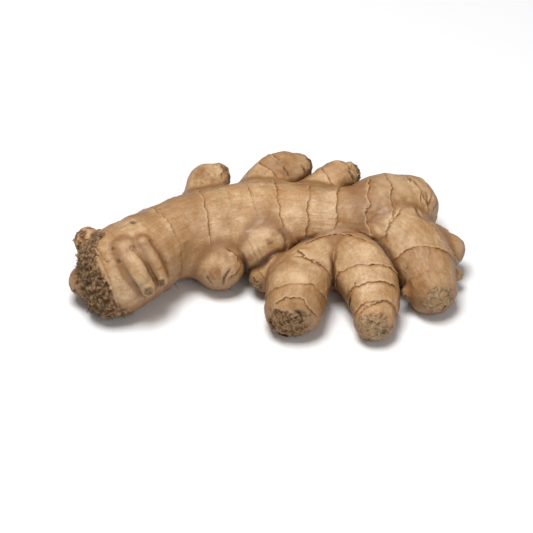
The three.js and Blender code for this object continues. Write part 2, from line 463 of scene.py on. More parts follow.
class Body:
    """The whole root as a field: the least gap to any finger, swollen where two fingers meet."""

    def __init__(self, fingers: Sequence[Finger]) -> None:
        """Tables the fingers and the width over which each pair swells together: widely where one
        grows from the other, and little where they lie side by side.

        Args:
            fingers: The fingers.
        """
        self.fingers = [finger.table(number + 1) for number, finger in enumerate(fingers)]
        thin = np.array([finger.thinnest for finger in self.fingers])
        grown = np.array([[two.name in one.grows_from.split(", ") for two in fingers] for one in fingers])
        self.grown = grown | grown.T
        shares = np.where(self.grown, GROWING_SHARE, BESIDE_SHARE)
        self.widths = shares * np.minimum.outer(thin, thin)

    def gaps(self, points: Array) -> Array:
        """Gap from each point to each finger, as a row per point; far fingers count as FAR.

        Args:
            points: Rows of x, y, z.

        Returns:
            The gaps.
        """
        found = np.full((len(points), len(self.fingers)), FAR)
        for column, finger in enumerate(self.fingers):
            near = ((points > finger.low) & (points < finger.high)).all(axis=1)
            if near.any():
                found[near, column] = finger.gap(points[near])
        return found

    def meet(self, gaps: Array) -> Array:
        """The joined gap: the least one, less a quarter of the meeting width times the square of
        (1 - difference / width) for the finger that comes nearest to the first.

        Args:
            gaps: A row of gaps per point.

        Returns:
            One joined gap per point.
        """
        nearest = gaps.argmin(axis=1)
        rows = np.arange(len(gaps))
        least = gaps[rows, nearest]
        widths = self.widths[nearest]
        close = np.clip(1.0 - (gaps - least[:, None]) / widths, 0.0, 1.0)
        rise = widths / 4.0 * close**2
        rise[rows, nearest] = 0.0
        return least - rise.max(axis=1)

    def value(self, points: Array) -> Array:
        """The field at points, worked out in blocks to spare memory."""
        blocks = np.array_split(points, max(1, len(points) // 60000))
        return np.concatenate([self.meet(self.gaps(block)) for block in blocks])

    def slope(self, points: Array, value: Array) -> Array:
        """The field's slope at points, by a small step along each axis from the value there."""
        steps = [self.value(points + SLOPE_STEP * np.eye(3)[axis]) - value for axis in range(3)]
        return np.stack(steps, axis=1) / SLOPE_STEP

    def settle(self, points: Array, rounds: int = SETTLE_ROUNDS) -> tuple[Array, Array]:
        """Brings points onto the skin by Newton's method, and gives the outward direction there.

        Args:
            points: Rows near the skin.
            rounds: Steps to take.

        Returns:
            The settled points and the unit normals.
        """
        slope = np.zeros_like(points)
        for _ in range(rounds):
            value = self.value(points)
            slope = self.slope(points, value)
            points = points - slope * (value / np.maximum((slope**2).sum(axis=1), 0.05))[:, None]
        return points, slope / np.linalg.norm(slope, axis=1, keepdims=True)


@dataclass
class Net:
    """A mesh in the making: points in millimetres, faces of four corners, and named values per point."""

    points: Array
    faces: Array
    marks: dict[str, Array] = field(default_factory=dict)

    def edges(self) -> Array:
        """Every side of every face, as pairs of points."""
        return np.concatenate([self.faces[:, [k, (k + 1) % 4]] for k in range(4)])

    def mean_of_neighbours(self, values: Array) -> Array:
        """Mean of the values at each point's neighbours.

        Args:
            values: A row per point.

        Returns:
            The means.
        """
        one, two = self.edges().T
        count = len(self.points)
        shares = np.bincount(one, minlength=count) + np.bincount(two, minlength=count)
        flat = values.reshape(count, -1)
        sums = [
            np.bincount(one, flat[two, k], count) + np.bincount(two, flat[one, k], count)
            for k in range(flat.shape[1])
        ]
        return (np.stack(sums, axis=1) / np.maximum(shares, 1)[:, None]).reshape(values.shape)


def stretch(values: Array, ratio: int, axis: int) -> Array:
    """Fills in a grid along one axis, ratio times as fine, on straight lines between the known values.

    Args:
        values: Known values.
        ratio: How much finer.
        axis: Axis of the grid.

    Returns:
        The finer grid.
    """
    moved = np.moveaxis(values, axis, 0)
    share = (np.arange(ratio) / ratio).reshape(1, ratio, 1, 1)
    filled = moved[:-1, None] * (1 - share) + moved[1:, None] * share
    filled = filled.reshape(-1, *moved.shape[1:])
    return np.moveaxis(np.concatenate([filled, moved[-1:]]), 0, axis)


def cast_net(body: Body, step: float) -> Net:
    """Draws a closed net of four-cornered faces over the body's zero surface.

    The field is worked out on a coarse grid, filled in on a fine one and worked out again near the
    surface. Each fine cell that the surface passes through gets one point, the mean of the places
    where it crosses the cell's sides, and each grid line that it crosses gets a face between the
    four cells round it.

    Args:
        body: The field.
        step: Size of a fine cell.

    Returns:
        The net, before it is settled.
    """
    low = NET_LOW
    coarse = step * COARSE_RATIO
    counts = np.ceil((NET_HIGH - low) / coarse).astype(int) + 1
    axes = [low[k] + coarse * np.arange(counts[k]) for k in range(3)]
    nodes = np.stack(np.meshgrid(*axes, indexing="ij"), axis=-1).reshape(-1, 3)
    values = body.value(nodes).reshape(counts)
    for axis in range(3):
        values = stretch(values, COARSE_RATIO, axis)
    near = np.argwhere(np.abs(values) < BAND)
    values[tuple(near.T)] = body.value(low + near * step)

    inside = values < 0
    corners = np.array([(x, y, z) for x in (0, 1) for y in (0, 1) for z in (0, 1)])
    shape = np.array(values.shape) - 1
    votes = sum(
        inside[x : x + shape[0], y : y + shape[1], z : z + shape[2]].astype(np.int8) for x, y, z in corners
    )
    cells = np.argwhere((votes > 0) & (votes < 8))
    number = np.full(shape, -1)
    number[tuple(cells.T)] = np.arange(len(cells))
    around = values[tuple((cells[:, None] + corners).reshape(-1, 3).T)].reshape(-1, 8)
    total = np.zeros((len(cells), 3))
    crossings = np.zeros(len(cells))
    for one in range(8):
        for two in range(one + 1, 8):
            if np.abs(corners[one] - corners[two]).sum() != 1:
                continue
            start, end = around[:, one], around[:, two]
            crossed = (start < 0) != (end < 0)
            share = np.where(crossed, start / np.where(crossed, start - end, 1.0), 0.0)
            place = corners[one] + share[:, None] * (corners[two] - corners[one])
            total += place * crossed[:, None]
            crossings += crossed
    points = low + (cells + total / crossings[:, None]) * step

    faces = []
    for axis in range(3):
        ahead = np.roll(inside, -1, axis)
        crossed = (inside != ahead)[: shape[0], : shape[1], : shape[2]]
        crossed[0], crossed[:, 0], crossed[:, :, 0] = False, False, False
        found = np.argwhere(crossed)
        one, two = np.eye(3, dtype=int)[(axis + 1) % 3], np.eye(3, dtype=int)[(axis + 2) % 3]
        ring = [found - one - two, found - two, found, found - one]
        quads = np.stack([number[tuple(cell.T)] for cell in ring], axis=1)
        outward = inside[tuple(found.T)]
        faces.append(np.where(outward[:, None], quads, quads[:, ::-1]))
    return Net(points, np.concatenate(faces))


class Kind(Enum):
    """What a marked spot on the skin is."""

    CRUST = "rough brown crust of a broken tip"
    PALE_CRUST = "pale scaly crust of a dried tip"
    CUP = "brown cup of a bud, with a raised rim"
    STAIN = "smooth brown patch"
    # A pale patch put on the tops of the head and fingers: painted light.
    PAINTED_LIGHT = "smooth pale patch"
    BRUISE = "small dark sunken spot"


@dataclass(frozen=True)
class Spot:
    """A marked spot: its middle on the skin and its radius."""

    kind: Kind
    centre: Point
    radius: float


@dataclass(frozen=True)
class Groove:
    """A crease in the skin along a path of points, with how much painted shade darkens it."""

    path: tuple[Point, ...]
    width: float
    depth: float
    # How much painted shade darkens the crease.
    dark: float


@dataclass(frozen=True)
class Edge:
    """The free edge of a leaf scale that runs no full ring.

    Seen from outside, the skin on the left of the path lies over the skin on its right.
    """

    path: tuple[Point, ...]
    height: float = 1.0


@dataclass(frozen=True)
class Comb:
    """A patch of short parallel wrinkles: their middle, the direction across them and their reach."""

    centre: Point
    across: Point
    reach: float
    spacing: float
    height: float


SPOTS = [
    Spot(Kind.CRUST, (9.0, -56.0, 11.8), 10.4),
    Spot(Kind.STAIN, (11.2, -52.8, 24.8), 2.8),
    Spot(Kind.PALE_CRUST, (50.0, -58.0, 10.0), 8.8),
    Spot(Kind.BRUISE, (48.6, -56.5, 17.0), 1.8),
    Spot(Kind.CUP, (55.5, -57.1, 10.4), 1.7),
    Spot(Kind.PALE_CRUST, (83.3, -40.0, 13.5), 7.4),
    Spot(Kind.BRUISE, (80.9, -38.4, 20.3), 1.3),
    Spot(Kind.BRUISE, (86.0, -36.9, 18.6), 1.1),
    Spot(Kind.STAIN, (75.1, -36.3, 21.4), 3.2),
    Spot(Kind.CRUST, (-20.6, 41.0, 29.0), 5.8),
    Spot(Kind.CRUST, (20.8, 46.2, 28.5), 5.2),
    Spot(Kind.STAIN, (6.0, 36.2, 35.0), 6.5),
    Spot(Kind.CRUST, (45.0, 42.0, 28.0), 5.4),
    Spot(Kind.STAIN, (-25.9, -23.5, 17.7), 4.6),
    Spot(Kind.STAIN, (0.8, -12.7, 28.0), 3.0),
    Spot(Kind.STAIN, (-8.8, -17.0, 21.3), 2.6),
    Spot(Kind.CRUST, (-5.6, -22.0, 10.5), 3.8),
    Spot(Kind.BRUISE, (-56.3, 5.5, 36.3), 1.4),
    Spot(Kind.BRUISE, (-53.7, -1.1, 39.9), 1.1),
    Spot(Kind.BRUISE, (-65.8, -12.3, 41.1), 1.9),
    Spot(Kind.BRUISE, (-64.9, -30.6, 40.6), 2.0),
    Spot(Kind.BRUISE, (-56.6, -25.2, 39.6), 1.6),
    Spot(Kind.BRUISE, (-71.7, -35.9, 36.7), 1.3),
    Spot(Kind.BRUISE, (-74.8, -30.4, 39.8), 1.1),
    Spot(Kind.CUP, (-51.4, -37.6, 24.6), 2.4),
    Spot(Kind.CUP, (-58.1, -42.8, 23.0), 3.0),
    Spot(Kind.CUP, (95.8, -16.4, 9.4), 2.0),
    Spot(Kind.CUP, (66.4, -34.0, 12.4), 1.2),
    Spot(Kind.STAIN, (94.5, 0.5, 15.0), 3.4),
    Spot(Kind.STAIN, (-32.0, 31.0, 33.5), 7.0),
    # Pale patches on the tops of the head, a knob and the front left finger: painted light.
    Spot(Kind.PAINTED_LIGHT, (62.5, 20.5, 36.5), 12.5),
    Spot(Kind.PAINTED_LIGHT, (17.5, -24.5, 29.5), 8.0),
    Spot(Kind.PAINTED_LIGHT, (-3.5, -10.0, 28.5), 6.5),
    Spot(Kind.PAINTED_LIGHT, (14.0, -40.0, 28.0), 6.5),
    Spot(Kind.STAIN, (93.9, -15.2, 11.5), 3.2),
    Spot(Kind.STAIN, (47.9, 1.2, 33.2), 3.4),
    Spot(Kind.STAIN, (49.3, 9.6, 38.0), 3.8),
    Spot(Kind.STAIN, (55.6, -7.9, 26.6), 4.2),
    Spot(Kind.STAIN, (60.9, 3.2, 34.6), 2.6),
    Spot(Kind.STAIN, (-52.5, -30.5, 22.5), 3.6),
]

# Creases: path, width, depth and how much painted shade darkens them.
GROOVES = [
    Groove(
        ((-63.6, -32.4, 39.3), (-57.8, -35.6, 31.8), (-55.3, -37.3, 26.4), (-54.4, -33.9, 15.6)),
        1.1,
        1.0,
        0.35,
    ),
    Groove(
        ((-69.9, -37.4, 36.3), (-65.7, -41.6, 30.9), (-62.9, -42.2, 25.1), (-62.3, -41.2, 19.4)),
        1.1,
        0.9,
        0.3,
    ),
    Groove(((-57.0, -25.9, 39.9), (-52.0, -28.6, 34.2), (-47.9, -29.3, 24.9)), 1.3, 0.7, 0.15),
    Groove(((73.3, 8.8, 32.0), (75.4, 1.8, 32.0)), 0.85, 1.5, 1.0),
    Groove(((77.7, 22.0, 30.5), (79.0, 17.6, 29.2), (78.4, 13.8, 27.4)), 0.55, 1.0, 0.85),
    Groove(((82.9, 23.3, 24.7), (81.8, 18.0, 24.6), (80.3, 13.2, 23.9)), 0.5, 0.45, 0.4),
    Groove(((84.0, 22.0, 19.0), (82.7, 17.2, 18.4)), 0.5, 0.4, 0.4),
    Groove(((68.1, -25.4, 23.9), (66.7, -25.3, 21.5)), 0.6, 0.4, 0.55),
    Groove(((-18.5, -21.3, 19.3), (-21.5, -24.0, 15.8), (-22.4, -24.2, 10.5)), 0.6, 1.0, 0.9),
    Groove(((-30.8, -22.5, 15.6), (-27.3, -24.0, 11.0)), 0.6, 0.7, 0.7),
    Groove(((3.1, 41.2, 35.0), (9.5, 35.6, 31.3)), 0.6, 0.6, 0.55),
    Groove(((15.9, 41.6, 32.8), (18.6, 39.2, 28.9)), 0.6, 0.9, 0.8),
    Groove(((39.9, 38.4, 32.0), (43.1, 35.4, 28.1)), 0.7, 1.0, 0.85),
    Groove(((12.4, -55.0, 22.2), (15.0, -55.6, 20.8), (16.6, -56.0, 17.8)), 1.05, 2.0, 0.95),
    Groove(((0.2, -13.9, 28.2), (2.2, -12.0, 27.6)), 0.5, 0.5, 0.6),
    Groove(((38.6, -43.6, 9.0), (39.1, -41.7, 13.5), (39.6, -40.6, 19.0)), 0.9, 0.4, 0.75),
    Groove(((47.6, -0.5, 31.5), (47.9, 3.1, 34.8), (49.9, 6.8, 37.0)), 0.5, 0.35, 0.6),
    Groove(((71.6, -24.5, 15.0), (69.4, -26.6, 15.2), (67.6, -27.2, 13.0)), 0.8, 0.6, 0.6),
    Groove(((4.4, -6.3, 31.1), (8.1, -7.4, 27.7), (9.0, -10.5, 21.8)), 1.0, 0.8, 0.45),
]

EDGES = [
    Edge(
        (
            (17.0, -13.5, 25.5), (21.5, -9.0, 26.3), (27.3, -5.8, 26.3), (34.6, -5.5, 27.1),
            (42.3, -9.4, 29.1), (49.9, -15.9, 30.3),
        ),
        1.15,
    ),
    Edge(((14.0, -16.2, 27.0), (17.8, -23.7, 29.0), (21.6, -26.5, 28.5), (26.8, -28.8, 25.3)), 1.0),
    Edge(((78.5, 12.1, 26.6), (77.3, 17.1, 29.5), (74.8, 21.4, 31.9), (69.0, 28.2, 33.3)), 0.8),
    Edge(((94.9, -9.2, 11.7), (90.5, -12.7, 20.9), (84.4, -11.6, 28.6), (82.0, -4.0, 31.5)), 1.0),
    Edge(
        (
            (42.3, -51.6, 15.3), (46.1, -50.8, 20.2), (52.1, -47.7, 22.3), (58.5, -45.7, 19.7),
            (61.6, -46.7, 13.4),
        ),
        1.0,
    ),
    Edge(
        (
            (2.4, -49.2, 21.5), (9.6, -50.3, 26.4), (16.9, -51.1, 25.4), (20.0, -52.9, 21.4),
            (23.8, -52.1, 15.0),
        ),
        0.9,
    ),
    Edge(((39.0, -43.5, 8.0), (39.5, -41.6, 12.3), (39.7, -40.6, 17.5), (40.6, -39.2, 21.0)), 1.7),
    Edge(
        (
            (53.0, -7.2, 25.4), (50.2, -3.1, 28.3), (47.9, -0.1, 31.9), (47.8, 2.8, 34.6),
            (50.3, 6.6, 36.9), (48.8, 11.5, 38.5), (49.8, 17.7, 39.0), (51.0, 25.0, 37.0),
        ),
        1.4,
    ),
    Edge(
        (
            (54.3, -8.4, 25.1), (57.5, -6.9, 29.0), (60.7, -1.4, 33.0), (61.4, 5.0, 35.3),
            (59.4, 9.7, 37.7), (61.2, 16.3, 38.8), (58.7, 25.1, 38.1), (57.5, 31.0, 35.5),
        ),
        0.8,
    ),
    Edge(
        (
            (-22.1, -24.4, 14.6), (-16.2, -21.4, 16.4), (-14.0, -18.4, 18.4), (-16.9, -16.4, 23.3),
            (-22.1, -14.7, 27.1),
        ),
        0.8,
    ),
    Edge(((9.7, 34.3, 30.0), (8.1, 36.3, 32.7), (5.0, 41.0, 35.0), (2.0, 45.0, 35.0)), 0.9),
    Edge(((43.8, 36.6, 28.9), (41.7, 38.8, 31.5), (37.0, 40.4, 32.9), (33.0, 43.0, 32.5)), 0.9),
    Edge(((-22.6, 33.1, 30.1), (-24.2, 34.2, 31.9), (-23.5, 37.4, 32.7), (-26.4, 43.4, 31.3)), 0.9),
    Edge(((79.4, 9.9, 25.0), (78.2, 14.8, 27.9), (79.9, 21.2, 28.6), (76.8, 31.6, 28.7)), 0.9),
    Edge(((-75.6, -37.1, 34.9), (-79.6, -33.1, 36.4), (-83.2, -26.2, 37.2), (-81.6, -19.7, 38.5)), 0.7),
]

COMBS = [
    Comb((-6.6, -16.0, 25.1), (0.89, 0.30, 0.33), 4.6, 2.9, 0.3),
    Comb((-19.2, -17.5, 23.6), (0.80, -0.35, 0.49), 4.4, 3.0, 0.2),
    Comb((76.5, -18.0, 29.0), (0.97, 0.1, 0.2), 7.0, 2.9, 0.16),
]


@dataclass(frozen=True)
class Relief:
    """Heights of what stands on the skin, in millimetres, and the widths of its steps."""

    ridge: float = 0.36
    ridge_rise: float = 3.8
    ridge_drop: float = 0.45
    groove: float = 0.3
    groove_reach: float = 1.8
    bulge: float = 0.35
    lumps: float = 0.85
    dimples: float = 0.42
    puckers: float = 0.1
    striae: float = 0.14
    wrinkles: float = 0.2
    crust: float = 0.9
    fibre: float = 2.0
    fibre_sunk: float = 1.3
    seam: float = 0.7
    edge_fade: float = 3.0


RELIEF = Relief()


@dataclass
class Trail:
    """A path laid on the body: its points, their outward directions and the directions to its right."""

    points: Array
    out: Array
    right: Array

    @classmethod
    def on(cls, body: Body, path: Sequence[Point], step: float) -> "Trail":
        """Fills a path in at even steps, rounds its corners and settles it on the body.

        Args:
            body: The body's field.
            path: Corner points near the skin.
            step: Distance between points.

        Returns:
            The trail.
        """
        corners = np.array(path, float)
        run = np.concatenate([[0], np.cumsum(np.linalg.norm(np.diff(corners, axis=0), axis=1))])
        place = np.linspace(0, run[-1], max(3, int(run[-1] / step) + 1))
        points = np.stack([np.interp(place, run, corners[:, k]) for k in range(3)], axis=1)
        for _ in range(int(4.0 / step)):
            points[1:-1] += 0.4 * (points[:-2] + points[2:] - 2 * points[1:-1]) / 2
        points, out = body.settle(points)
        ahead = np.gradient(points, axis=0)
        right = np.cross(ahead, out)
        return cls(points, out, right / np.linalg.norm(right, axis=1, keepdims=True))

    def past(self, points: Array) -> tuple[Array, Array, Array]:
        """Where points lie by the trail.

        Args:
            points: Rows of x, y, z.

        Returns:
            Signed distance to the trail's right, run along it, and plain distance from it.
        """
        apart = ((points[:, None] - self.points[None]) ** 2).sum(axis=2)
        near = apart.argmin(axis=1)
        offset = points - self.points[near]
        side = np.einsum("ij,ij->i", offset, self.right[near])
        away = np.sqrt(apart[np.arange(len(points)), near])
        step = np.linalg.norm(self.points[1] - self.points[0])
        return side, near * step, away

    @property
    def length(self) -> float:
        """Length of the trail."""
        return float(np.linalg.norm(np.diff(self.points, axis=0), axis=1).sum())


class Skin:
    """What stands on the body's surface: its height and the masks that the finishes read."""

    def __init__(self, body: Body, relief: Relief) -> None:
        """Keeps the body, the heights and the noises, and lays the scale edges and grooves on the body.

        Args:
            body: The field.
            relief: The heights.
        """
        self.body = body
        self.relief = relief
        self.noise = Noise(SEED)
        self.other = Noise(SEED + 1)
        self.edges = [Trail.on(body, edge.path, 0.5) for edge in EDGES]
        self.grooves = [Trail.on(body, groove.path, 0.5) for groove in GROOVES]

    def scar_line(self, finger: Finger, index: int, angle: Array, out: Array) -> Array:
        """A scar's line with its jags: the finger's own line plus noise 6, 2 and 1 mm long.

        Args:
            finger: The finger.
            index: Which scar.
            angle: Angles round it.
            out: Directions outwards.

        Returns:
            The distances.
        """
        own = np.full(len(angle), 7.3 * index)
        place = np.stack([out * np.cos(angle), out * np.sin(angle), own], axis=1)
        place += 13.7 * finger.number
        jags = 2.0 * self.noise.at(place / 6.0) + 1.2 * self.other.at(place / 2.2)
        jags += 0.5 * self.noise.at(place)
        return finger.line(finger.scars[index], angle) + jags * min(1.0, finger.thinnest / 11.0)

    def strength(self, finger: Finger, index: int, angle: Array) -> Array:
        """How strongly a scar shows at angles round the finger, from 0.4 to 1.25: slow noise.

        Args:
            finger: The finger.
            index: Which scar.
            angle: Angles round it.

        Returns:
            The strengths.
        """
        place = np.stack([np.cos(angle), np.sin(angle), np.full(len(angle), 5.1 * index)], axis=1)
        shows = 0.9 + 1.1 * self.other.at(place * 1.7 + 3.1 * finger.number)
        return np.clip(shows, 0.4, 1.25) * finger.scars[index].height

    def step_at(self, past: Array, strong: Array) -> Array:
        """Height across a scale edge: it rises as the square of the nearness behind the edge, drops past
        it and leaves a shallow groove that fills up again.

        Args:
            past: Distances past the edge.
            strong: Strengths.

        Returns:
            The heights.
        """
        relief = self.relief
        behind = np.where(past < 0, np.clip(1 + past / relief.ridge_rise, 0, 1) ** 2, 0)
        drop = np.where(past >= 0, 1 - ramp(0, relief.ridge_drop, past), 0)
        hollow = ramp(0, relief.ridge_drop, past) * np.clip(1 - past / relief.groove_reach, 0, 1)
        return strong * (relief.ridge * (behind + drop) - relief.groove * hollow)

    def fibre_mask(self, finger: Finger, points: Array, distance: Array, angle: Array) -> Array:
        """Where the torn end's fibres show bare, from 0 to 1.

        On the stem they reach from its end to a ragged rim, which lies further in behind the top. The
        foot is bare, and the bumps are bare in patches.

        Args:
            finger: The finger.
            points: Points on the skin.
            distance: Distances along it.
            angle: Angles round it.

        Returns:
            The mask.
        """
        if not finger.broken:
            return np.zeros(len(points))
        patches = self.other.layered(points / 4.5, 2)
        if finger.name == "stem":
            turned = np.mod(angle + math.pi / 2, 2 * math.pi) - math.pi / 2
            rim = -2.0 + 3.2 * patches + 10.5 * ramp(1.5, 2.1, turned) * (1 - ramp(3.6, 4.4, turned))
            return 1 - ramp(rim - 0.6, rim + 0.6, distance)
        if finger.name == "foot of the break":
            return ramp(-0.45, -0.2, patches)
        return 0.9 * ramp(0.05, 0.25, patches + (0.12 if finger.name.startswith("top") else -0.05))

    def finger_marks(self, finger: Finger, points: Array) -> dict[str, Array]:
        """Height and masks that one finger gives to points on its skin.

        Segments between scars are arched as a sine. Fine striae run along the finger and wrinkles
        across it, both as stretched noise, and each segment has a tone of its own.

        Args:
            finger: The finger.
            points: Points on the skin.

        Returns:
            Named values per point.
        """
        relief, noise, other = self.relief, self.noise, self.other
        distance, angle, out, radius = finger.locate(points)
        size = min(1.0, finger.thinnest / 9.0)
        grain = np.stack([out * np.cos(angle), out * np.sin(angle), distance], axis=1)
        grain = grain + 41.0 * finger.number
        count = len(points)
        height = np.zeros(count)
        scar = np.full(count, 3.0)
        shows = np.zeros(count)
        tone = np.zeros(count)
        marks = [-4.0]
        for index, mark in enumerate(finger.scars):
            past = distance - self.scar_line(finger, index, angle, out)
            strong = self.strength(finger, index, angle)
            height += size * self.step_at(past, strong)
            nearer = np.abs(past) < np.abs(scar)
            scar = np.where(nearer, past, scar)
            shows = np.where(nearer, strong, shows)
            fading = np.exp(-np.maximum(past, 0) / 18)
            tone += 0.6 * np.sin(7.1 * index + 3.3 * finger.number) * ramp(-0.4, 0.4, past) * fading
            marks.append(mark.at)
        marks.append(finger.length + radius.mean())
        for low, high in zip(marks[:-1], marks[1:]):
            if high - low > 7.5:
                share = np.clip((distance - low) / (high - low), 0, 1)
                height += relief.bulge * size * np.sin(np.pi * share)
        striae = noise.at(grain * (1 / 1.25, 1 / 1.25, 1 / 11))
        striae += 0.6 * other.at(grain * (1 / 2.6, 1 / 2.6, 1 / 16))
        creased = ramp(-0.05, 0.3, other.at(grain / 8.0 + 5.0))
        across = noise.at(grain * (1 / 7, 1 / 7, 1 / 1.15) + 9.0)
        height += relief.striae * size * striae + relief.wrinkles * size * creased * across
        return {
            "height": height,
            "scar": np.clip(scar, -3, 3),
            "near": np.clip(1 - np.abs(scar) / 3.0, 0, 1) * np.minimum(shows, 1.2) * size,
            "tone": tone,
            "fibre": self.fibre_mask(finger, points, distance, angle),
            "grain_x": grain[:, 0],
            "grain_y": grain[:, 1],
            "grain_z": grain[:, 2],
        }

    def marks(self, points: Array) -> dict[str, Array]:
        """Height and masks of the whole skin at points on the body.

        What the fingers give is blended by e to the power of minus their gap over the seam width,
        except the scar and grain coordinates, which the nearest finger gives alone; calm is 0 at the
        seam between two fingers, where those jump. Crease is 1 where two fingers that only lie side by
        side meet, and fades where a finger that both grow from comes near. Fold is 1 at every seam. Low
        is 1 near the floor, with a border that slow noise moves up and down. The finish paints shade
        where crease, fold and low are high.

        Args:
            points: Points on the body's surface.

        Returns:
            Named values per point.
        """
        gaps = self.body.gaps(points)
        nearest = gaps.argmin(axis=1)
        least = gaps.min(axis=1)
        second = np.partition(gaps, 1, axis=1)[:, 1]
        weights = np.exp(-(gaps - least[:, None]) / self.relief.seam)
        weights[weights < 0.02] = 0.0
        weights /= weights.sum(axis=1, keepdims=True)
        blended = ("height", "tone", "fibre", "near")
        alone = ("scar", "grain_x", "grain_y", "grain_z")
        found = {name: np.zeros(len(points)) for name in blended + alone}
        for column, finger in enumerate(self.body.fingers):
            share = weights[:, column]
            near = share > 0
            if not near.any():
                continue
            own = self.finger_marks(finger, points[near])
            for name in blended:
                found[name][near] += share[near] * own[name]
            first = nearest[near] == column
            rows = np.flatnonzero(near)[first]
            for name in alone:
                found[name][rows] = own[name][first]
        found["calm"] = ramp(0.3, 1.5, second - least)
        # Fold marks every seam between fingers, where the finish paints shade.
        found["fold"] = 1 - ramp(0.0, 4.5, second - least)
        # Low marks the lower flanks near the floor, where the finish paints shade.
        found["low"] = 1 - ramp(6.0, 25.0, points[:, 2] + 5.0 * self.noise.at(points / 10.0))
        found["near"] *= found["calm"]
        # Crease marks where fingers that only lie side by side meet, where the finish paints shade.
        kin = self.body.grown[nearest]
        strangers = np.where(kin, FAR, gaps)
        strangers[np.arange(len(points)), nearest] = FAR
        joint = np.where(kin, gaps, FAR).min(axis=1) - least
        found["crease"] = (1 - ramp(0.0, 4.5, strangers.min(axis=1) - least)) * ramp(2.0, 5.0, joint)
        self.add_lumps(points, found)
        self.add_edges(points, found)
        self.add_spots(points, found)
        self.add_grooves(points, found)
        return found

    def add_lumps(self, points: Array, found: dict[str, Array]) -> None:
        """Adds slow lumps and dimples to the height, and the torn end's crumbs: sharp-crested and layered
        noise drawn out along the break, at places that other noise shifts.

        Args:
            points: Points on the skin.
            found: Values, which change.
        """
        relief = self.relief
        found["height"] += relief.lumps * self.noise.layered(points / 13.0, 2)
        found["height"] += relief.dimples * self.other.layered(points / 4.6, 2)
        found["height"] += relief.puckers * self.noise.ridged(points / 2.6 + 19.0, 2)
        torn = np.clip(found["fibre"], 0, 1)
        x, y, z = points.T
        lie = np.stack([x - 0.3 * z, y + 0.2 * z, z], axis=1)
        lie = lie + 2.2 * np.stack([self.other.at(points / 3.5 + 9.0 * k) for k in range(3)], axis=1)
        crests = 0.5 * self.noise.ridged(lie * (1 / 4.2, 1 / 4.2, 1 / 8.0), 4)
        crests += 1.1 * self.other.layered(lie * (1 / 2.4, 1 / 2.4, 1 / 4.5) + 3.0, 3)
        found["height"] += torn * (relief.fibre * crests - relief.fibre_sunk)
        found["crests"] = crests

    def edge_jag(self, points: Array) -> Array:
        """How far a free edge's line lies off its trail: noise 4, 1.8 and 0.9 mm long."""
        jag = 1.5 * self.noise.at(points / 4.0 + 3.0) + 1.1 * self.other.at(points / 1.8)
        return jag + 0.4 * self.noise.at(points / 0.9)

    def add_edges(self, points: Array, found: dict[str, Array]) -> None:
        """Adds the scale edges: the same step as a scar's, jagged by noise and fading at both ends.

        Args:
            points: Points on the skin.
            found: Values, which change.
        """
        jag = self.edge_jag(points)
        for edge, trail in zip(EDGES, self.edges):
            near = np.linalg.norm(points - trail.points.mean(axis=0), axis=1) < trail.length / 2 + 6
            side, run, away = trail.past(points[near])
            past = side + jag[near]
            fade = ramp(0, self.relief.edge_fade, np.minimum(run, trail.length - run))
            fade *= 1 - ramp(3.5, 5.0, away)
            strong = edge.height * fade
            found["height"][near] += self.step_at(past, strong)
            closer = (np.abs(past) < np.abs(found["scar"][near])) & (strong > 0.1)
            rows = np.flatnonzero(near)[closer]
            found["scar"][rows] = np.clip(past[closer], -3, 3)
            found["near"][rows] = (np.clip(1 - np.abs(past) / 3.0, 0, 1) * strong)[closer]

    def add_spots(self, points: Array, found: dict[str, Array]) -> None:
        """Adds spots and combs: crusts get a rim and rough, stepped scales, cups a ring round a hollow, and
        bruises sink. Stains are patches of colour and the pale patches on tops are painted light, both with
        soft, ragged borders. A comb is a sine that fades as a bell round its middle, and its troughs are
        darkened as painted shade.

        Args:
            points: Points on the body's surface.
            found: Named values, changed in place.
        """
        relief = self.relief
        masks = {kind: np.zeros(len(points)) for kind in Kind}
        dark = np.zeros(len(points))
        flake = np.zeros(len(points))
        wobble = self.other.layered(points / 3.6 + 2.0, 3)
        rough = self.noise.ridged(points / 2.6 + 7.0, 3)
        terraces = self.other.layered(points / 5.0 + 11.0, 2)
        for spot in SPOTS:
            away = np.linalg.norm(points - np.array(spot.centre), axis=1)
            near = away < spot.radius * 1.9 + 2
            soft = spot.kind in (Kind.STAIN, Kind.PAINTED_LIGHT)
            swing = {Kind.STAIN: 0.9, Kind.PAINTED_LIGHT: 0.5}.get(spot.kind, 0.4)
            share = away[near] / spot.radius + swing * wobble[near]
            inside = 1 - ramp(0.3 if soft else 0.84, 1.2 if soft else 1.04, share)
            rim = hump(share - 0.98, 0.12)
            masks[spot.kind][near] = np.maximum(masks[spot.kind][near], inside)
            size = min(1.0, spot.radius / 5)
            if spot.kind in (Kind.CRUST, Kind.PALE_CRUST):
                level = terraces[near] * 3.0 + share * 2.6
                scales = level - np.floor(level)
                height = 0.5 * rim + inside * (relief.crust * (0.4 * rough[near] + 1.1 * scales) - 0.8)
                found["height"][near] += height * size * (1.0 if spot.kind is Kind.CRUST else 0.5)
                lifted = inside * np.clip(scales * 0.8 + 0.2 * rough[near], 0, 1)
                flake[near] = np.maximum(flake[near], lifted)
                border = 0.75 * hump(share - 1.06, 0.06) * ramp(-0.2, 0.2, terraces[near])
                dark[near] = np.maximum(dark[near], border)
                if spot.kind is Kind.CRUST:
                    dark[near] = np.maximum(dark[near], 0.8 * inside * hump(scales, 0.1))
            elif spot.kind is Kind.CUP:
                found["height"][near] += 0.6 * hump(share - 0.85, 0.2) - 0.7 * (1 - ramp(0.3, 0.75, share))
                dark[near] = np.maximum(dark[near], 0.55 * hump(share - 0.62, 0.14))
            elif spot.kind is Kind.STAIN:
                found["height"][near] += inside * 0.12 * rough[near]
            elif spot.kind is Kind.BRUISE:
                found["height"][near] -= 0.4 * inside
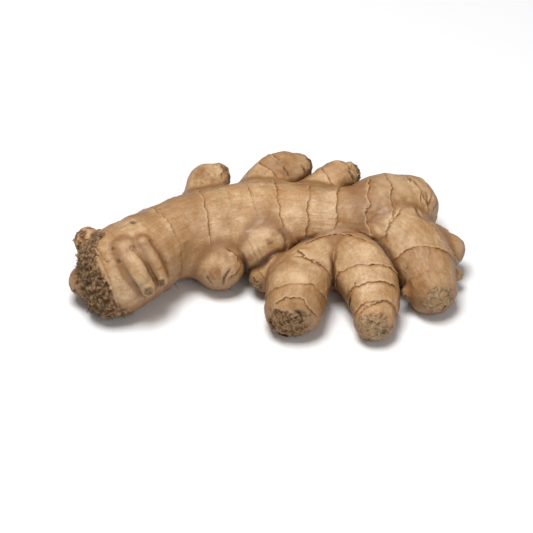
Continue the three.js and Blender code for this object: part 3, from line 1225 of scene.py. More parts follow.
                dark[near] = np.maximum(dark[near], 0.7 * inside * ramp(-0.35, 0.15, wobble[near]))
        for comb in COMBS:
            offset = points - np.array(comb.centre)
            wave = np.sin(2 * np.pi * (offset @ np.array(comb.across) + 0.5 * wobble) / comb.spacing)
            fade = hump(np.linalg.norm(offset, axis=1), comb.reach)
            found["height"] += comb.height * wave * fade
            # Painted shade in the troughs of the wrinkles.
            dark = np.maximum(dark, comb.height * fade * ramp(-0.3, -0.9, wave))
        found["crust"] = masks[Kind.CRUST]
        found["pale"] = masks[Kind.PALE_CRUST]
        found["cup"] = masks[Kind.CUP]
        found["stain"] = masks[Kind.STAIN]
        found["bloom"] = masks[Kind.PAINTED_LIGHT]
        found["flake"] = flake
        # Dark holds the own dark of crust borders and scales, cups and bruises, and painted shade in
        # grooves and wrinkle troughs.
        found["dark"] = dark

    def add_grooves(self, points: Array, found: dict[str, Array]) -> None:
        """Sinks the grooves and darkens them with painted shade: a bell of the distance, tapering as a
        root towards both ends.

        Args:
            points: Points on the skin.
            found: Values, which change.
        """
        wobble = 0.35 * self.noise.at(points / 1.8)
        for groove, trail in zip(GROOVES, self.grooves):
            near = np.linalg.norm(points - trail.points.mean(axis=0), axis=1) < trail.length / 2 + 4
            _, run, away = trail.past(points[near])
            share = np.clip(run / trail.length, 0, 1)
            taper = np.sqrt(np.clip(4 * share * (1 - share), 0.02, 1))
            bell = hump(away + wobble[near], groove.width) * taper
            found["height"][near] -= groove.depth * bell
            # Painted shade along the groove.
            found["dark"][near] = np.maximum(found["dark"][near], groove.dark * bell)


def raise_skin(body: Body, skin: Skin, step: float) -> Net:
    """Nets the body, smooths and settles the net, and raises the skin's relief on it.

    Each point moves along the surface's own direction by the relief's height, and no lower than the
    surface the root rests on. Cavity is how far a point lies under the mean of its neighbours; the
    finish paints shade into hollows and a highlight onto crests from it.

    Args:
        body: The field.
        skin: The relief and masks.
        step: Size of a cell.

    Returns:
        The finished net.
    """
    net = cast_net(body, step)
    log.info("net of %d points, %d faces", len(net.points), len(net.faces))
    net.points, _ = body.settle(net.points, 1)
    for _ in range(4):
        net.points += 0.6 * (net.mean_of_neighbours(net.points) - net.points)
    net.points, normals = body.settle(net.points, 2)
    marks = skin.marks(net.points)
    net.points = net.points + normals * marks["height"][:, None]
    net.points += PLAN_SHIFT
    net.points[:, 2] = np.maximum(net.points[:, 2], 0.0)
    sunk = np.einsum("ij,ij->i", net.mean_of_neighbours(net.points) - net.points, normals) / step
    marks["cavity"] = 0.6 * sunk + 0.4 * net.mean_of_neighbours(sunk)
    net.marks = marks
    return net


def store(
    name: str, points: Array, faces: Array, marks: dict[str, Array], finish: bpy.types.Material
) -> bpy.types.Object:
    """Makes a smooth-shaded piece from points in millimetres, with its marks as attributes.

    Args:
        name: Name of the piece.
        points: Rows of x, y, z in millimetres.
        faces: Rows of corner numbers.
        marks: Values per point; a row of three becomes a vector.
        finish: The material.

    Returns:
        The new object, at the origin.
    """
    mesh = bpy.data.meshes.new(name)
    corners = faces.shape[1]
    mesh.vertices.add(len(points))
    mesh.vertices.foreach_set("co", (points * MM).astype(np.float32).ravel())
    mesh.loops.add(faces.size)
    mesh.loops.foreach_set("vertex_index", faces.astype(np.int32).ravel())
    mesh.polygons.add(len(faces))
    mesh.polygons.foreach_set("loop_start", np.arange(len(faces), dtype=np.int32) * corners)
    mesh.polygons.foreach_set("use_smooth", np.ones(len(faces), dtype=bool))
    mesh.update(calc_edges=True)
    mesh.validate()
    for key, values in marks.items():
        vector = values.ndim == 2
        attribute = mesh.attributes.new(key, "FLOAT_VECTOR" if vector else "FLOAT", "POINT")
        attribute.data.foreach_set("vector" if vector else "value", values.astype(np.float32).ravel())
    mesh.materials.append(finish)
    piece = bpy.data.objects.new(name, mesh)
    bpy.context.scene.collection.objects.link(piece)
    return piece


class Graph:
    """A material or group being wired, with a short way to add nodes and links."""

    def __init__(self, tree: bpy.types.NodeTree) -> None:
        """Keeps the tree."""
        self.tree = tree

    def add(self, kind: str, **values: object) -> bpy.types.Node:
        """Adds a node and sets its properties by name.

        Args:
            kind: Blender's name for it.
            values: Its properties.

        Returns:
            The node.
        """
        node = self.tree.nodes.new(kind)
        for key, value in values.items():
            setattr(node, key, value)
        return node

    def plug(self, source: object, target: bpy.types.NodeSocket) -> None:
        """Links a socket, or sets a plain value, on a target socket.

        Args:
            source: Socket or value.
            target: Where it goes.
        """
        if isinstance(source, bpy.types.NodeSocket):
            self.tree.links.new(source, target)
        else:
            target.default_value = source

    def math(self, operation: str, one: object, two: object = 0.0) -> bpy.types.NodeSocket:
        """Adds a Math node.

        Args:
            operation: What it does.
            one: First input.
            two: Second input.

        Returns:
            Its output.
        """
        node = self.add("ShaderNodeMath", operation=operation)
        self.plug(one, node.inputs[0])
        self.plug(two, node.inputs[1])
        return node.outputs[0]

    def ramp(
        self, value: object, low: float, high: float, start: float = 0.0, end: float = 1.0
    ) -> bpy.types.NodeSocket:
        """Adds a clamped Map Range node from low..high to start..end.

        Args:
            value: Input.
            low: From.
            high: From.
            start: To, at low.
            end: To, at high.

        Returns:
            Its output.
        """
        node = self.add("ShaderNodeMapRange", interpolation_type="SMOOTHSTEP")
        for socket, source in zip(node.inputs, (value, low, high, start, end)):
            self.plug(source, socket)
        return node.outputs[0]

    def mix(self, share: object, one: object, two: object, blend: str = "MIX") -> bpy.types.NodeSocket:
        """Adds a colour Mix node.

        Args:
            share: Part of two.
            one: Colour.
            two: Colour.
            blend: Its way.

        Returns:
            Its output.
        """
        node = self.add("ShaderNodeMix", data_type="RGBA", blend_type=blend, clamp_factor=True)
        self.plug(share, node.inputs[0])
        self.plug(one, node.inputs[6])
        self.plug(two, node.inputs[7])
        return node.outputs[2]

    def noise(
        self, vector: object, scale: float, detail: float = 3.0, roughness: float = 0.5
    ) -> bpy.types.NodeSocket:
        """Adds a Noise Texture node and gives its value.

        Args:
            vector: Place.
            scale: Fineness.
            detail: Layers.
            roughness: Their gain.

        Returns:
            Its output.
        """
        node = self.add("ShaderNodeTexNoise")
        self.plug(vector, node.inputs["Vector"])
        node.inputs["Scale"].default_value = scale
        node.inputs["Detail"].default_value = detail
        node.inputs["Roughness"].default_value = roughness
        return node.outputs["Fac"]

    def scaled(self, vector: object, scale: Point) -> bpy.types.NodeSocket:
        """Adds a Mapping node that scales a vector.

        Args:
            vector: The vector.
            scale: Factor for each axis.

        Returns:
            Its output.
        """
        node = self.add("ShaderNodeMapping")
        self.plug(vector, node.inputs["Vector"])
        node.inputs["Scale"].default_value = scale
        return node.outputs[0]

    def attribute(self, name: str, output: str = "Fac") -> bpy.types.NodeSocket:
        """Adds an Attribute node for a value on the mesh."""
        return self.add("ShaderNodeAttribute", attribute_name=name).outputs[output]


def colour(red: int, green: int, blue: int) -> Tint:
    """A colour of 0 to 255 display values as the linear values that a shader takes.

    Args:
        red: Red.
        green: Green.
        blue: Blue.

    Returns:
        The tint.
    """
    parts = [c / 255 for c in (red, green, blue)]
    linear = [c / 12.92 if c <= 0.04045 else ((c + 0.055) / 1.055) ** 2.4 for c in parts]
    return (*linear, 1.0)


def new_group(
    name: str, inputs: dict[str, tuple[str, object]], outputs: dict[str, str]
) -> tuple[Graph, dict, dict]:
    """Starts a node group.

    Args:
        name: Name of the group.
        inputs: Socket name to kind and default value.
        outputs: Socket name to kind.

    Returns:
        The graph, its input sockets and its output sockets by name.
    """
    tree = bpy.data.node_groups.new(name, "ShaderNodeTree")
    for key, (kind, value) in inputs.items():
        socket = tree.interface.new_socket(name=key, in_out="INPUT", socket_type=f"NodeSocket{kind}")
        if value is not None:
            socket.default_value = value
    for key, kind in outputs.items():
        tree.interface.new_socket(name=key, in_out="OUTPUT", socket_type=f"NodeSocket{kind}")
    graph = Graph(tree)
    entry = graph.add("NodeGroupInput")
    leave = graph.add("NodeGroupOutput")
    return graph, {s.name: s for s in entry.outputs}, {s.name: s for s in leave.inputs}


def streak_group() -> bpy.types.NodeTree:
    """Fibres of the skin: noise drawn out along the finger, fine and coarse, from a grain coordinate.

    Returns:
        The group.
    """
    graph, given, asked = new_group(
        "SkinStreaks",
        {"Grain": ("Vector", None), "Calm": ("Float", 1.0)},
        {"Streaks": "Float", "Height": "Float"},
    )
    fine = graph.noise(graph.scaled(given["Grain"], (2.6, 2.6, 0.16)), 1.0, 3.0, 0.6)
    broad = graph.noise(graph.scaled(given["Grain"], (0.8, 0.8, 0.06)), 1.0, 2.0)
    across = graph.noise(graph.scaled(given["Grain"], (0.22, 0.22, 1.5)), 1.0, 2.0, 0.6)
    mixed = graph.math("ADD", graph.math("MULTIPLY", fine, 0.5), graph.math("MULTIPLY", broad, 0.5))
    centred = graph.math("SUBTRACT", mixed, 0.5)
    graph.plug(graph.math("ADD", graph.math("MULTIPLY", centred, given["Calm"]), 0.5), asked["Streaks"])
    low = graph.math("ADD", graph.math("MULTIPLY", fine, 0.65), graph.math("MULTIPLY", across, 0.35))
    flat = graph.math("SUBTRACT", low, 0.5)
    graph.plug(graph.math("MULTIPLY", flat, given["Calm"]), asked["Height"])
    return graph.tree


def pore_group() -> bpy.types.NodeTree:
    """Fine leathery pores: small cells and noise of half a millimetre and less.

    Returns:
        The group.
    """
    graph, given, asked = new_group("SkinPores", {"Vector": ("Vector", None)}, {"Height": "Float"})
    grain = graph.noise(given["Vector"], 1500.0, 3.0, 0.6)
    cells = graph.add("ShaderNodeTexVoronoi", feature="SMOOTH_F1")
    graph.plug(given["Vector"], cells.inputs["Vector"])
    cells.inputs["Scale"].default_value = 1100.0
    rounded = graph.math("MULTIPLY", cells.outputs[0], 0.4)
    height = graph.math("ADD", graph.math("MULTIPLY", grain, 0.6), rounded)
    graph.plug(height, asked["Height"])
    return graph.tree


def blotch_group() -> bpy.types.NodeTree:
    """Slow mottling of three sizes from Object coordinates.

    Returns:
        The group.
    """
    sizes = {"Wide": "Float", "Small": "Float", "Fine": "Float"}
    graph, given, asked = new_group("Blotches", {"Vector": ("Vector", None)}, sizes)
    graph.plug(graph.ramp(graph.noise(given["Vector"], 70.0, 3.0, 0.55), 0.3, 0.7), asked["Wide"])
    graph.plug(graph.ramp(graph.noise(given["Vector"], 260.0, 4.0, 0.6), 0.32, 0.68), asked["Small"])
    graph.plug(graph.noise(given["Vector"], 800.0, 3.0, 0.6), asked["Fine"])
    return graph.tree


@dataclass(frozen=True)
class SkinFinish:
    """Tan, satin ginger skin with brown scar lines, crusted tips and a fibrous torn end, with painted
    shade in seams, creases, grooves, hollows, at grazing angles and on the lower flanks, and painted
    light on tops and crests.
    """

    light: Tint = colour(213, 179, 138)
    middle: Tint = colour(180, 140, 96)
    ochre: Tint = colour(163, 114, 64)
    # Brown of the painted shade in seams, at grazing angles and on the lower flanks.
    painted_shade_brown: Tint = colour(132, 88, 48)
    brown: Tint = colour(124, 80, 42)
    dark: Tint = colour(60, 41, 26)
    crust_dark: Tint = colour(104, 74, 47)
    crust_middle: Tint = colour(142, 107, 71)
    crust_light: Tint = colour(186, 151, 109)
    dried: Tint = colour(156, 127, 95)
    grey_brown: Tint = colour(112, 88, 63)
    cup: Tint = colour(124, 87, 54)
    stain: Tint = colour(146, 101, 57)
    fibre: Tint = colour(104, 76, 49)

    def build(self) -> bpy.types.Material:
        """Wires the material from the mesh's marks.

        Returns:
            The material.
        """
        material = bpy.data.materials.new("ginger_skin")
        material.use_nodes = True
        graph = Graph(material.node_tree)
        shader = graph.tree.nodes["Principled BSDF"]
        place = graph.add("ShaderNodeTexCoord").outputs["Object"]
        names = (
            "calm", "near", "scar", "crust", "pale", "cup", "stain", "fibre", "flake", "dark", "tone",
            "cavity", "crease", "crests", "fold", "low", "bloom",
        )
        marks = {name: graph.attribute(name) for name in names}

        streaks = graph.add("ShaderNodeGroup", node_tree=bpy.data.node_groups["SkinStreaks"])
        graph.plug(graph.attribute("grain", "Vector"), streaks.inputs["Grain"])
        graph.plug(marks["calm"], streaks.inputs["Calm"])
        blotches = graph.add("ShaderNodeGroup", node_tree=bpy.data.node_groups["Blotches"])
        graph.plug(place, blotches.inputs["Vector"])
        pores = graph.add("ShaderNodeGroup", node_tree=bpy.data.node_groups["SkinPores"])
        graph.plug(place, pores.inputs["Vector"])

        base = graph.mix(blotches.outputs["Wide"], self.middle, self.light)
        base = graph.mix(graph.math("MULTIPLY", blotches.outputs["Small"], 0.42), base, self.ochre)
        base = graph.mix(graph.ramp(marks["tone"], 0.0, -0.6, 0.0, 0.4), base, self.ochre)
        shade = graph.ramp(streaks.outputs["Streaks"], 0.36, 0.64, 0.88, 1.07)
        shade = graph.math("MULTIPLY", shade, graph.ramp(marks["tone"], -0.6, 0.6, 0.93, 1.06))
        shade = graph.math("MULTIPLY", shade, graph.ramp(blotches.outputs["Fine"], 0.3, 0.7, 0.88, 1.08))
        base = graph.mix(1.0, base, self.grey(graph, shade), "MULTIPLY")
        # Painted shade: every seam between fingers is darkened towards brown.
        base = graph.mix(graph.ramp(marks["fold"], 0.0, 1.0, 0.0, 0.74), base, self.painted_shade_brown)
        # Painted shade: skin seen at grazing angles, towards the outline, is darkened towards brown.
        grazing_shade = graph.add("ShaderNodeLayerWeight")
        grazing_shade.inputs["Blend"].default_value = 0.4
        base = graph.mix(graph.ramp(grazing_shade.outputs["Facing"], 0.25, 0.85, 0.0, 0.72), base, self.painted_shade_brown)
        # Painted shade: the lower flanks are darkened towards brown.
        base = graph.mix(graph.ramp(marks["low"], 0.0, 1.0, 0.0, 0.55), base, self.painted_shade_brown)
        # Painted light: the tops under the pale patches are lightened.
        base = graph.mix(graph.ramp(marks["bloom"], 0.0, 1.0, 0.0, 0.55), base, self.light)
        base = self.scar_lines(graph, base, place, marks)
        base = self.patches(graph, base, place, marks)
        # Painted shade in hollows and a painted highlight on crests, from the cavity mark.
        base = graph.mix(graph.ramp(marks["cavity"], 0.03, 0.22, 0.0, 0.55), base, self.brown)
        base = graph.mix(graph.ramp(marks["cavity"], -0.02, -0.16, 0.0, 0.25), base, self.light)
        # Painted shade: where fingers that lie side by side meet, the skin is darkened to brown and dark.
        base = graph.mix(graph.ramp(marks["crease"], 0.02, 0.6, 0.0, 0.85), base, self.brown)
        base = graph.mix(graph.ramp(marks["crease"], 0.5, 1.0, 0.0, 0.92), base, self.dark)
        # Dark marks: the own dark of crusts, cups and bruises, and painted shade in grooves and wrinkle
        # troughs.
        base = graph.mix(graph.math("MULTIPLY", marks["dark"], 0.92), base, self.dark)
        graph.plug(base, shader.inputs["Base Color"])

        rough = graph.ramp(blotches.outputs["Small"], 0.0, 1.0, 0.42, 0.54)
        dull = graph.math("MAXIMUM", graph.math("MAXIMUM", marks["crust"], marks["fibre"]), marks["pale"])
        graph.plug(graph.math("ADD", rough, graph.math("MULTIPLY", dull, 0.36)), shader.inputs["Roughness"])
        shader.inputs["Specular IOR Level"].default_value = 0.42

        bump = graph.add("ShaderNodeBump")
        bump.inputs["Strength"].default_value = 1.0
        bump.inputs["Distance"].default_value = 0.00036
        roughened = graph.math("MULTIPLY", dull, 4.0)
        rugged = graph.math("MULTIPLY", graph.noise(place, 700.0, 6.0, 0.75), roughened)
        pitted = graph.math("MULTIPLY", pores.outputs["Height"], 0.35)
        height = graph.math("ADD", streaks.outputs["Height"], pitted)
        graph.plug(graph.math("ADD", height, rugged), bump.inputs["Height"])
        graph.plug(bump.outputs[0], shader.inputs["Normal"])
        return material

    def scar_lines(self, graph: Graph, base: object, place: object, marks: dict[str, object]) -> object:
        """Colours the scale edges: a pale lip, partly the papery edge's own colour and partly a painted
        highlight where the lip catches light, a thin line past it that is dark only in stretches, and a
        stained zone after the line.

        Args:
            graph: The material's graph.
            base: The colour so far.
            place: Object coordinates.
            marks: Mark sockets by name.

        Returns:
            The colour.
        """
        scar, near = marks["scar"], marks["near"]
        stretches = graph.ramp(graph.noise(place, 150.0, 3.0), 0.4, 0.58)
        stained = graph.math("MULTIPLY", graph.ramp(scar, -0.4, 0.3), graph.ramp(scar, 0.8, 2.6, 1.0, 0.0))
        stained = graph.math("MULTIPLY", stained, graph.ramp(near, 0.05, 0.7, 0.0, 0.7))
        base = graph.mix(stained, base, self.ochre)
        # Pale lip: partly the papery edge's own colour, partly a painted highlight where it catches light.
        lip = graph.math("MULTIPLY", graph.ramp(scar, -1.5, -0.5), graph.ramp(scar, -0.35, -0.05, 1.0, 0.0))
        lip = graph.math("MULTIPLY", lip, graph.ramp(near, 0.3, 0.9, 0.0, 0.35))
        base = graph.mix(lip, base, self.light)
        jag = graph.math("MULTIPLY", graph.math("SUBTRACT", graph.noise(place, 900.0, 3.0, 0.6), 0.5), 0.9)
        line = graph.math("ABSOLUTE", graph.math("SUBTRACT", graph.math("ADD", scar, jag), 0.25))
        strong = graph.ramp(stretches, 0.0, 1.0, 0.55, 1.0)
        shown = graph.math("MULTIPLY", graph.ramp(near, 0.25, 0.8), strong)
        wide = graph.math("MULTIPLY", graph.ramp(line, 0.1, 0.5, 1.0, 0.0), shown)
        base = graph.mix(wide, base, self.brown)
        shown = graph.math("MULTIPLY", shown, stretches)
        deep = graph.math("MULTIPLY", graph.ramp(line, 0.04, 0.26, 1.0, 0.0), shown)
        return graph.mix(graph.math("MULTIPLY", deep, 0.6), base, self.dark)

    def patches(self, graph: Graph, base: object, place: object, marks: dict[str, object]) -> object:
        """Colours the stains, cups, crusts and the torn end.

        Args:
            graph: The material's graph.
            base: The colour so far.
            place: Object coordinates.
            marks: Mark sockets by name.

        Returns:
            The colour.
        """
        flecks = graph.ramp(graph.noise(place, 420.0, 5.0, 0.7), 0.36, 0.62)
        patchy = graph.ramp(graph.noise(place, 300.0, 4.0, 0.65), 0.35, 0.6, 0.25, 0.9)
        base = graph.mix(graph.math("MULTIPLY", marks["stain"], patchy), base, self.stain)
        cupped = graph.mix(flecks, self.cup, self.crust_light)
        base = graph.mix(graph.math("MULTIPLY", marks["cup"], 0.9), base, cupped)
        level = graph.math("ADD", marks["flake"], graph.ramp(flecks, 0.0, 1.0, -0.2, 0.2))
        crusty = graph.mix(graph.ramp(level, 0.1, 0.45), self.crust_dark, self.crust_middle)
        crusty = graph.mix(graph.ramp(level, 0.55, 0.95), crusty, self.crust_light)
        base = graph.mix(graph.math("MULTIPLY", marks["crust"], 0.95), base, crusty)
        dried = graph.mix(graph.ramp(level, 0.1, 0.8, 0.0, 0.75), self.dried, self.light)
        greyed = graph.ramp(graph.noise(place, 330.0, 4.0, 0.6), 0.5, 0.68, 0.0, 0.8)
        dried = graph.mix(greyed, dried, self.grey_brown)
        base = graph.mix(graph.math("MULTIPLY", marks["pale"], 0.9), base, dried)
        torn = graph.mix(flecks, self.fibre, self.crust_middle)
        torn = graph.mix(graph.ramp(marks["crests"], -0.6, 0.25), self.dark, torn)
        torn = graph.mix(graph.ramp(marks["crests"], 0.35, 0.9, 0.0, 0.6), torn, self.crust_light)
        return graph.mix(marks["fibre"], base, torn)

    @staticmethod
    def grey(graph: Graph, value: bpy.types.NodeSocket) -> bpy.types.NodeSocket:
        """A grey of a value, as a colour.

        Args:
            graph: The graph.
            value: The value.

        Returns:
            The colour.
        """
        node = graph.add("ShaderNodeCombineColor")
        for socket in node.inputs:
            graph.plug(value, socket)
        return node.outputs[0]


@dataclass(frozen=True)
class DryFinish:
    """A dry bit of skin or root: one colour at its root, one at its free edge, mottled by noise."""

    name: str
    root: Tint
    free: Tint
    tint: Tint
    rough: float = 0.62

    def build(self) -> bpy.types.Material:
        """Wires the material from the piece's own edge and tint marks.

        Returns:
            The material.
        """
        material = bpy.data.materials.new(self.name)
        material.use_nodes = True
        graph = Graph(material.node_tree)
        shader = graph.tree.nodes["Principled BSDF"]
        place = graph.add("ShaderNodeTexCoord").outputs["Object"]
        fine = graph.noise(place, 520.0, 4.0, 0.65)
        mottled = graph.math("ADD", graph.attribute("edge"), graph.math("MULTIPLY", fine, 0.6))
        base = graph.mix(graph.ramp(mottled, 0.5, 1.35), self.root, self.free)
        base = graph.mix(graph.attribute("tint"), base, self.tint)
        graph.plug(base, shader.inputs["Base Color"])
        rough = graph.ramp(fine, 0.3, 0.7, self.rough - 0.08, self.rough + 0.1)
        graph.plug(rough, shader.inputs["Roughness"])
        shader.inputs["Specular IOR Level"].default_value = 0.35
        bump = graph.add("ShaderNodeBump")
        bump.inputs["Strength"].default_value = 0.6
        bump.inputs["Distance"].default_value = 0.0002
        graph.plug(graph.noise(place, 1600.0, 4.0, 0.6), bump.inputs["Height"])
        graph.plug(bump.outputs[0], shader.inputs["Normal"])
        return material


PAPER = DryFinish("dry_scale_edge", colour(184, 146, 105), colour(132, 94, 58), colour(196, 162, 122), 0.58)
TIP = DryFinish("dry_tip_scale", colour(140, 105, 70), colour(178, 143, 103), colour(108, 78, 50), 0.75)
FIBRE = DryFinish("dry_root_fibre", colour(98, 71, 45), colour(146, 113, 76), colour(62, 42, 26), 0.75)


@dataclass
class Bits:
    """Points, faces and marks of many small closed bits, gathered into one piece."""

    points: list[Array] = field(default_factory=list)
    faces: list[Array] = field(default_factory=list)
    edge: list[Array] = field(default_factory=list)
    tint: list[Array] = field(default_factory=list)
    count: int = 0

    def add(self, points: Array, faces: Array, edge: Array, tint: Array) -> None:
        """Adds a bit, whose faces count its own points from 0.

        Args:
            points: Its points.
            faces: Its faces.
            edge: Mask per point.
            tint: Tone per point.
        """
        self.points.append(points)
        self.faces.append(faces + self.count)
        self.edge.append(edge)
        self.tint.append(tint)
        self.count += len(points)

    def piece(self, name: str, finish: bpy.types.Material) -> bpy.types.Object:
        """Stores the gathered bits as one piece, moved to the solid's origin and kept above the floor.

        Args:
            name: Its name.
            finish: Its material.

        Returns:
            The piece.
        """
        made = np.concatenate(self.points) + PLAN_SHIFT
        made[:, 2] = np.maximum(made[:, 2], 0.0)
        marks = {"edge": np.concatenate(self.edge), "tint": np.concatenate(self.tint)}
        return store(name, made, np.concatenate(self.faces), marks, finish)


@dataclass
class ScaleEdges:
    """Papery edges left by the leaf scales: thin, torn strips that lie along the scars.

    A strip is a closed six-sided section carried along the line. The section's corners are given by
    how far past the line and how far over the skin they lie.
    """

    body: Body
    skin: Skin
    spacing: float = 0.36
    thickness: float = 0.1
    reach: float = 0.5
    lift: float = 0.09

    def ring_lines(self) -> list[tuple[Array, Array, float]]:
        """Stretches of each ring scar that show: where its own finger is the nearest by a clear margin.

        Returns:
            Points of the line on the body, directions past it, and the finger's share of size.
        """
        found = []
        for column, finger in enumerate(self.body.fingers):
            if finger.thinnest < 4.5:
                continue
            for index, scar in enumerate(finger.scars):
                radius = float(finger.axis(np.array([scar.at]))[4][0])
                count = int(2 * math.pi * radius / self.spacing)
                angle = np.linspace(-math.pi, math.pi, count, endpoint=False)
                line = self.skin.scar_line(finger, index, angle, np.full(count, radius))
                points = self.on_body(finger, line, angle)
                gaps = self.body.gaps(points)
                own = gaps[:, column].copy()
                gaps[:, column] = FAR
                shown = (gaps.min(axis=1) - own > 1.6) & (points[:, 2] > 1.5)
                shown &= self.skin.strength(finger, index, angle) > 0.42
                if shown.all():
                    shown[0] = False
                start = int(np.flatnonzero(~shown)[0])
                order = np.roll(np.arange(count), -start)
                bounds = np.flatnonzero(np.diff(np.concatenate([[0], shown[order].astype(int), [0]])))
                along = finger.axis(line)[1]
                for low, high in zip(bounds[::2], bounds[1::2]):
                    if high - low > 9:
                        rows = order[low:high]
                        found.append((points[rows], along[rows], min(1.0, finger.thinnest / 9.0)))
        return found

    def on_body(self, finger: Finger, distance: Array, angle: Array) -> Array:
        """Points of the body's surface in given directions from the axis.

        From the finger's radius a point moves straight out or in by the field's value, five times.

        Args:
            finger: The finger.
            distance: Distances along it.
            angle: Angles round it.

        Returns:
            The points.
        """
        centre, _, side, top, radius = finger.axis(distance)
        out = side * np.cos(angle)[:, None] + top * np.sin(angle)[:, None]
        past = np.maximum(distance - finger.length, 0)
        shrink = np.sqrt(np.clip(1 - (past / radius) ** 2, 0.05, 1))
        points = centre + out * (radius * shrink)[:, None]
        for _ in range(5):
            points = points - out * self.body.value(points)[:, None]
        return points

    def strip(self, bits: Bits, line: Array, past: Array, size: float) -> None:
        """Adds one strip.

        The lip's reach past the line is torn by noise 2.4, 0.9 and 0.5 mm long, and slow noise sinks
        the strip under the skin in stretches. Behind the line it follows the skin, and past it it keeps
        the height of the line.

        Args:
            bits: Where the strip goes.
            line: Points along the scale's edge.
            past: Directions past the edge.
            size: Share of the full reach and lift.
        """
        count = len(line)
        noise, other = self.skin.noise, self.skin.other
        torn = 0.9 * noise.at(line / 2.4) + 0.6 * other.at(line / 0.9) + 0.35 * noise.at(line / 0.5)
        fade = np.minimum(1.0, np.minimum(np.arange(count), np.arange(count)[::-1]) / 8.0)
        shown = ramp(-0.05, 0.3, noise.at(line / 6.0 + 4.0)) * fade
        lip = self.reach * size * np.clip(0.6 + 1.6 * torn, -0.1, 2.6) * shown
        lift = self.lift * size * np.clip(0.8 + 2.2 * other.at(line / 3.3), 0.1, 2.6) * shown
        lift -= 0.3 * (1 - shown)
        crest = self.skin.marks(line)["height"]
        section = [
            (np.full(count, -1.5), np.full(count, -0.30), 0.0),
            (np.full(count, -0.9), 0.03 * shown - 0.1, 0.1),
            (np.full(count, -0.25), lift * 0.6 + 0.03, 0.5),
            (lip, lift * 1.3, 1.0),
            (lip - 0.05, lift * 1.3 - self.thickness, 1.0),
            (np.full(count, -0.5), np.full(count, -0.45), 0.6),
        ]
        tint = np.clip(0.3 + 1.2 * noise.at(line / 5.0), 0, 0.7)
        points, edge = [], []
        for away, over, share in section:
            base, out = self.body.settle(line + past * away[:, None], 2)
            height = np.where(away < 0, self.skin.marks(base)["height"], crest)
            points.append(base + out * (height + over)[:, None])
            edge.append(np.full(count, share))
        ring = np.arange(count * 6).reshape(6, count)
        step = np.roll(ring, -1, axis=0)
        sides = np.stack([ring[:, :-1], ring[:, 1:], step[:, 1:], step[:, :-1]], axis=-1).reshape(-1, 4)
        first, last = ring[:, 0], ring[:, -1]
        ends = np.array([first[[0, 1, 2, 3]], first[[0, 3, 4, 5]], last[[3, 2, 1, 0]], last[[5, 4, 3, 0]]])
        faces = np.concatenate([sides, ends])
        bits.add(np.concatenate(points), faces, np.concatenate(edge), np.tile(tint, 6))

    def build(self, finish: bpy.types.Material) -> bpy.types.Object:
        """Makes every strip, those of the rings and those of the free edges, and joins them in one piece.

        Args:
            finish: The papery material.

        Returns:
            The piece.
        """
        bits = Bits()
        for line, past, size in self.ring_lines():
            self.strip(bits, line, past, size)
        for trail in self.skin.edges:
            line = trail.points - trail.right * self.skin.edge_jag(trail.points)[:, None]
            self.strip(bits, line[4:-4], trail.right[4:-4], 1.0)
        return bits.piece("scale_edges", finish)


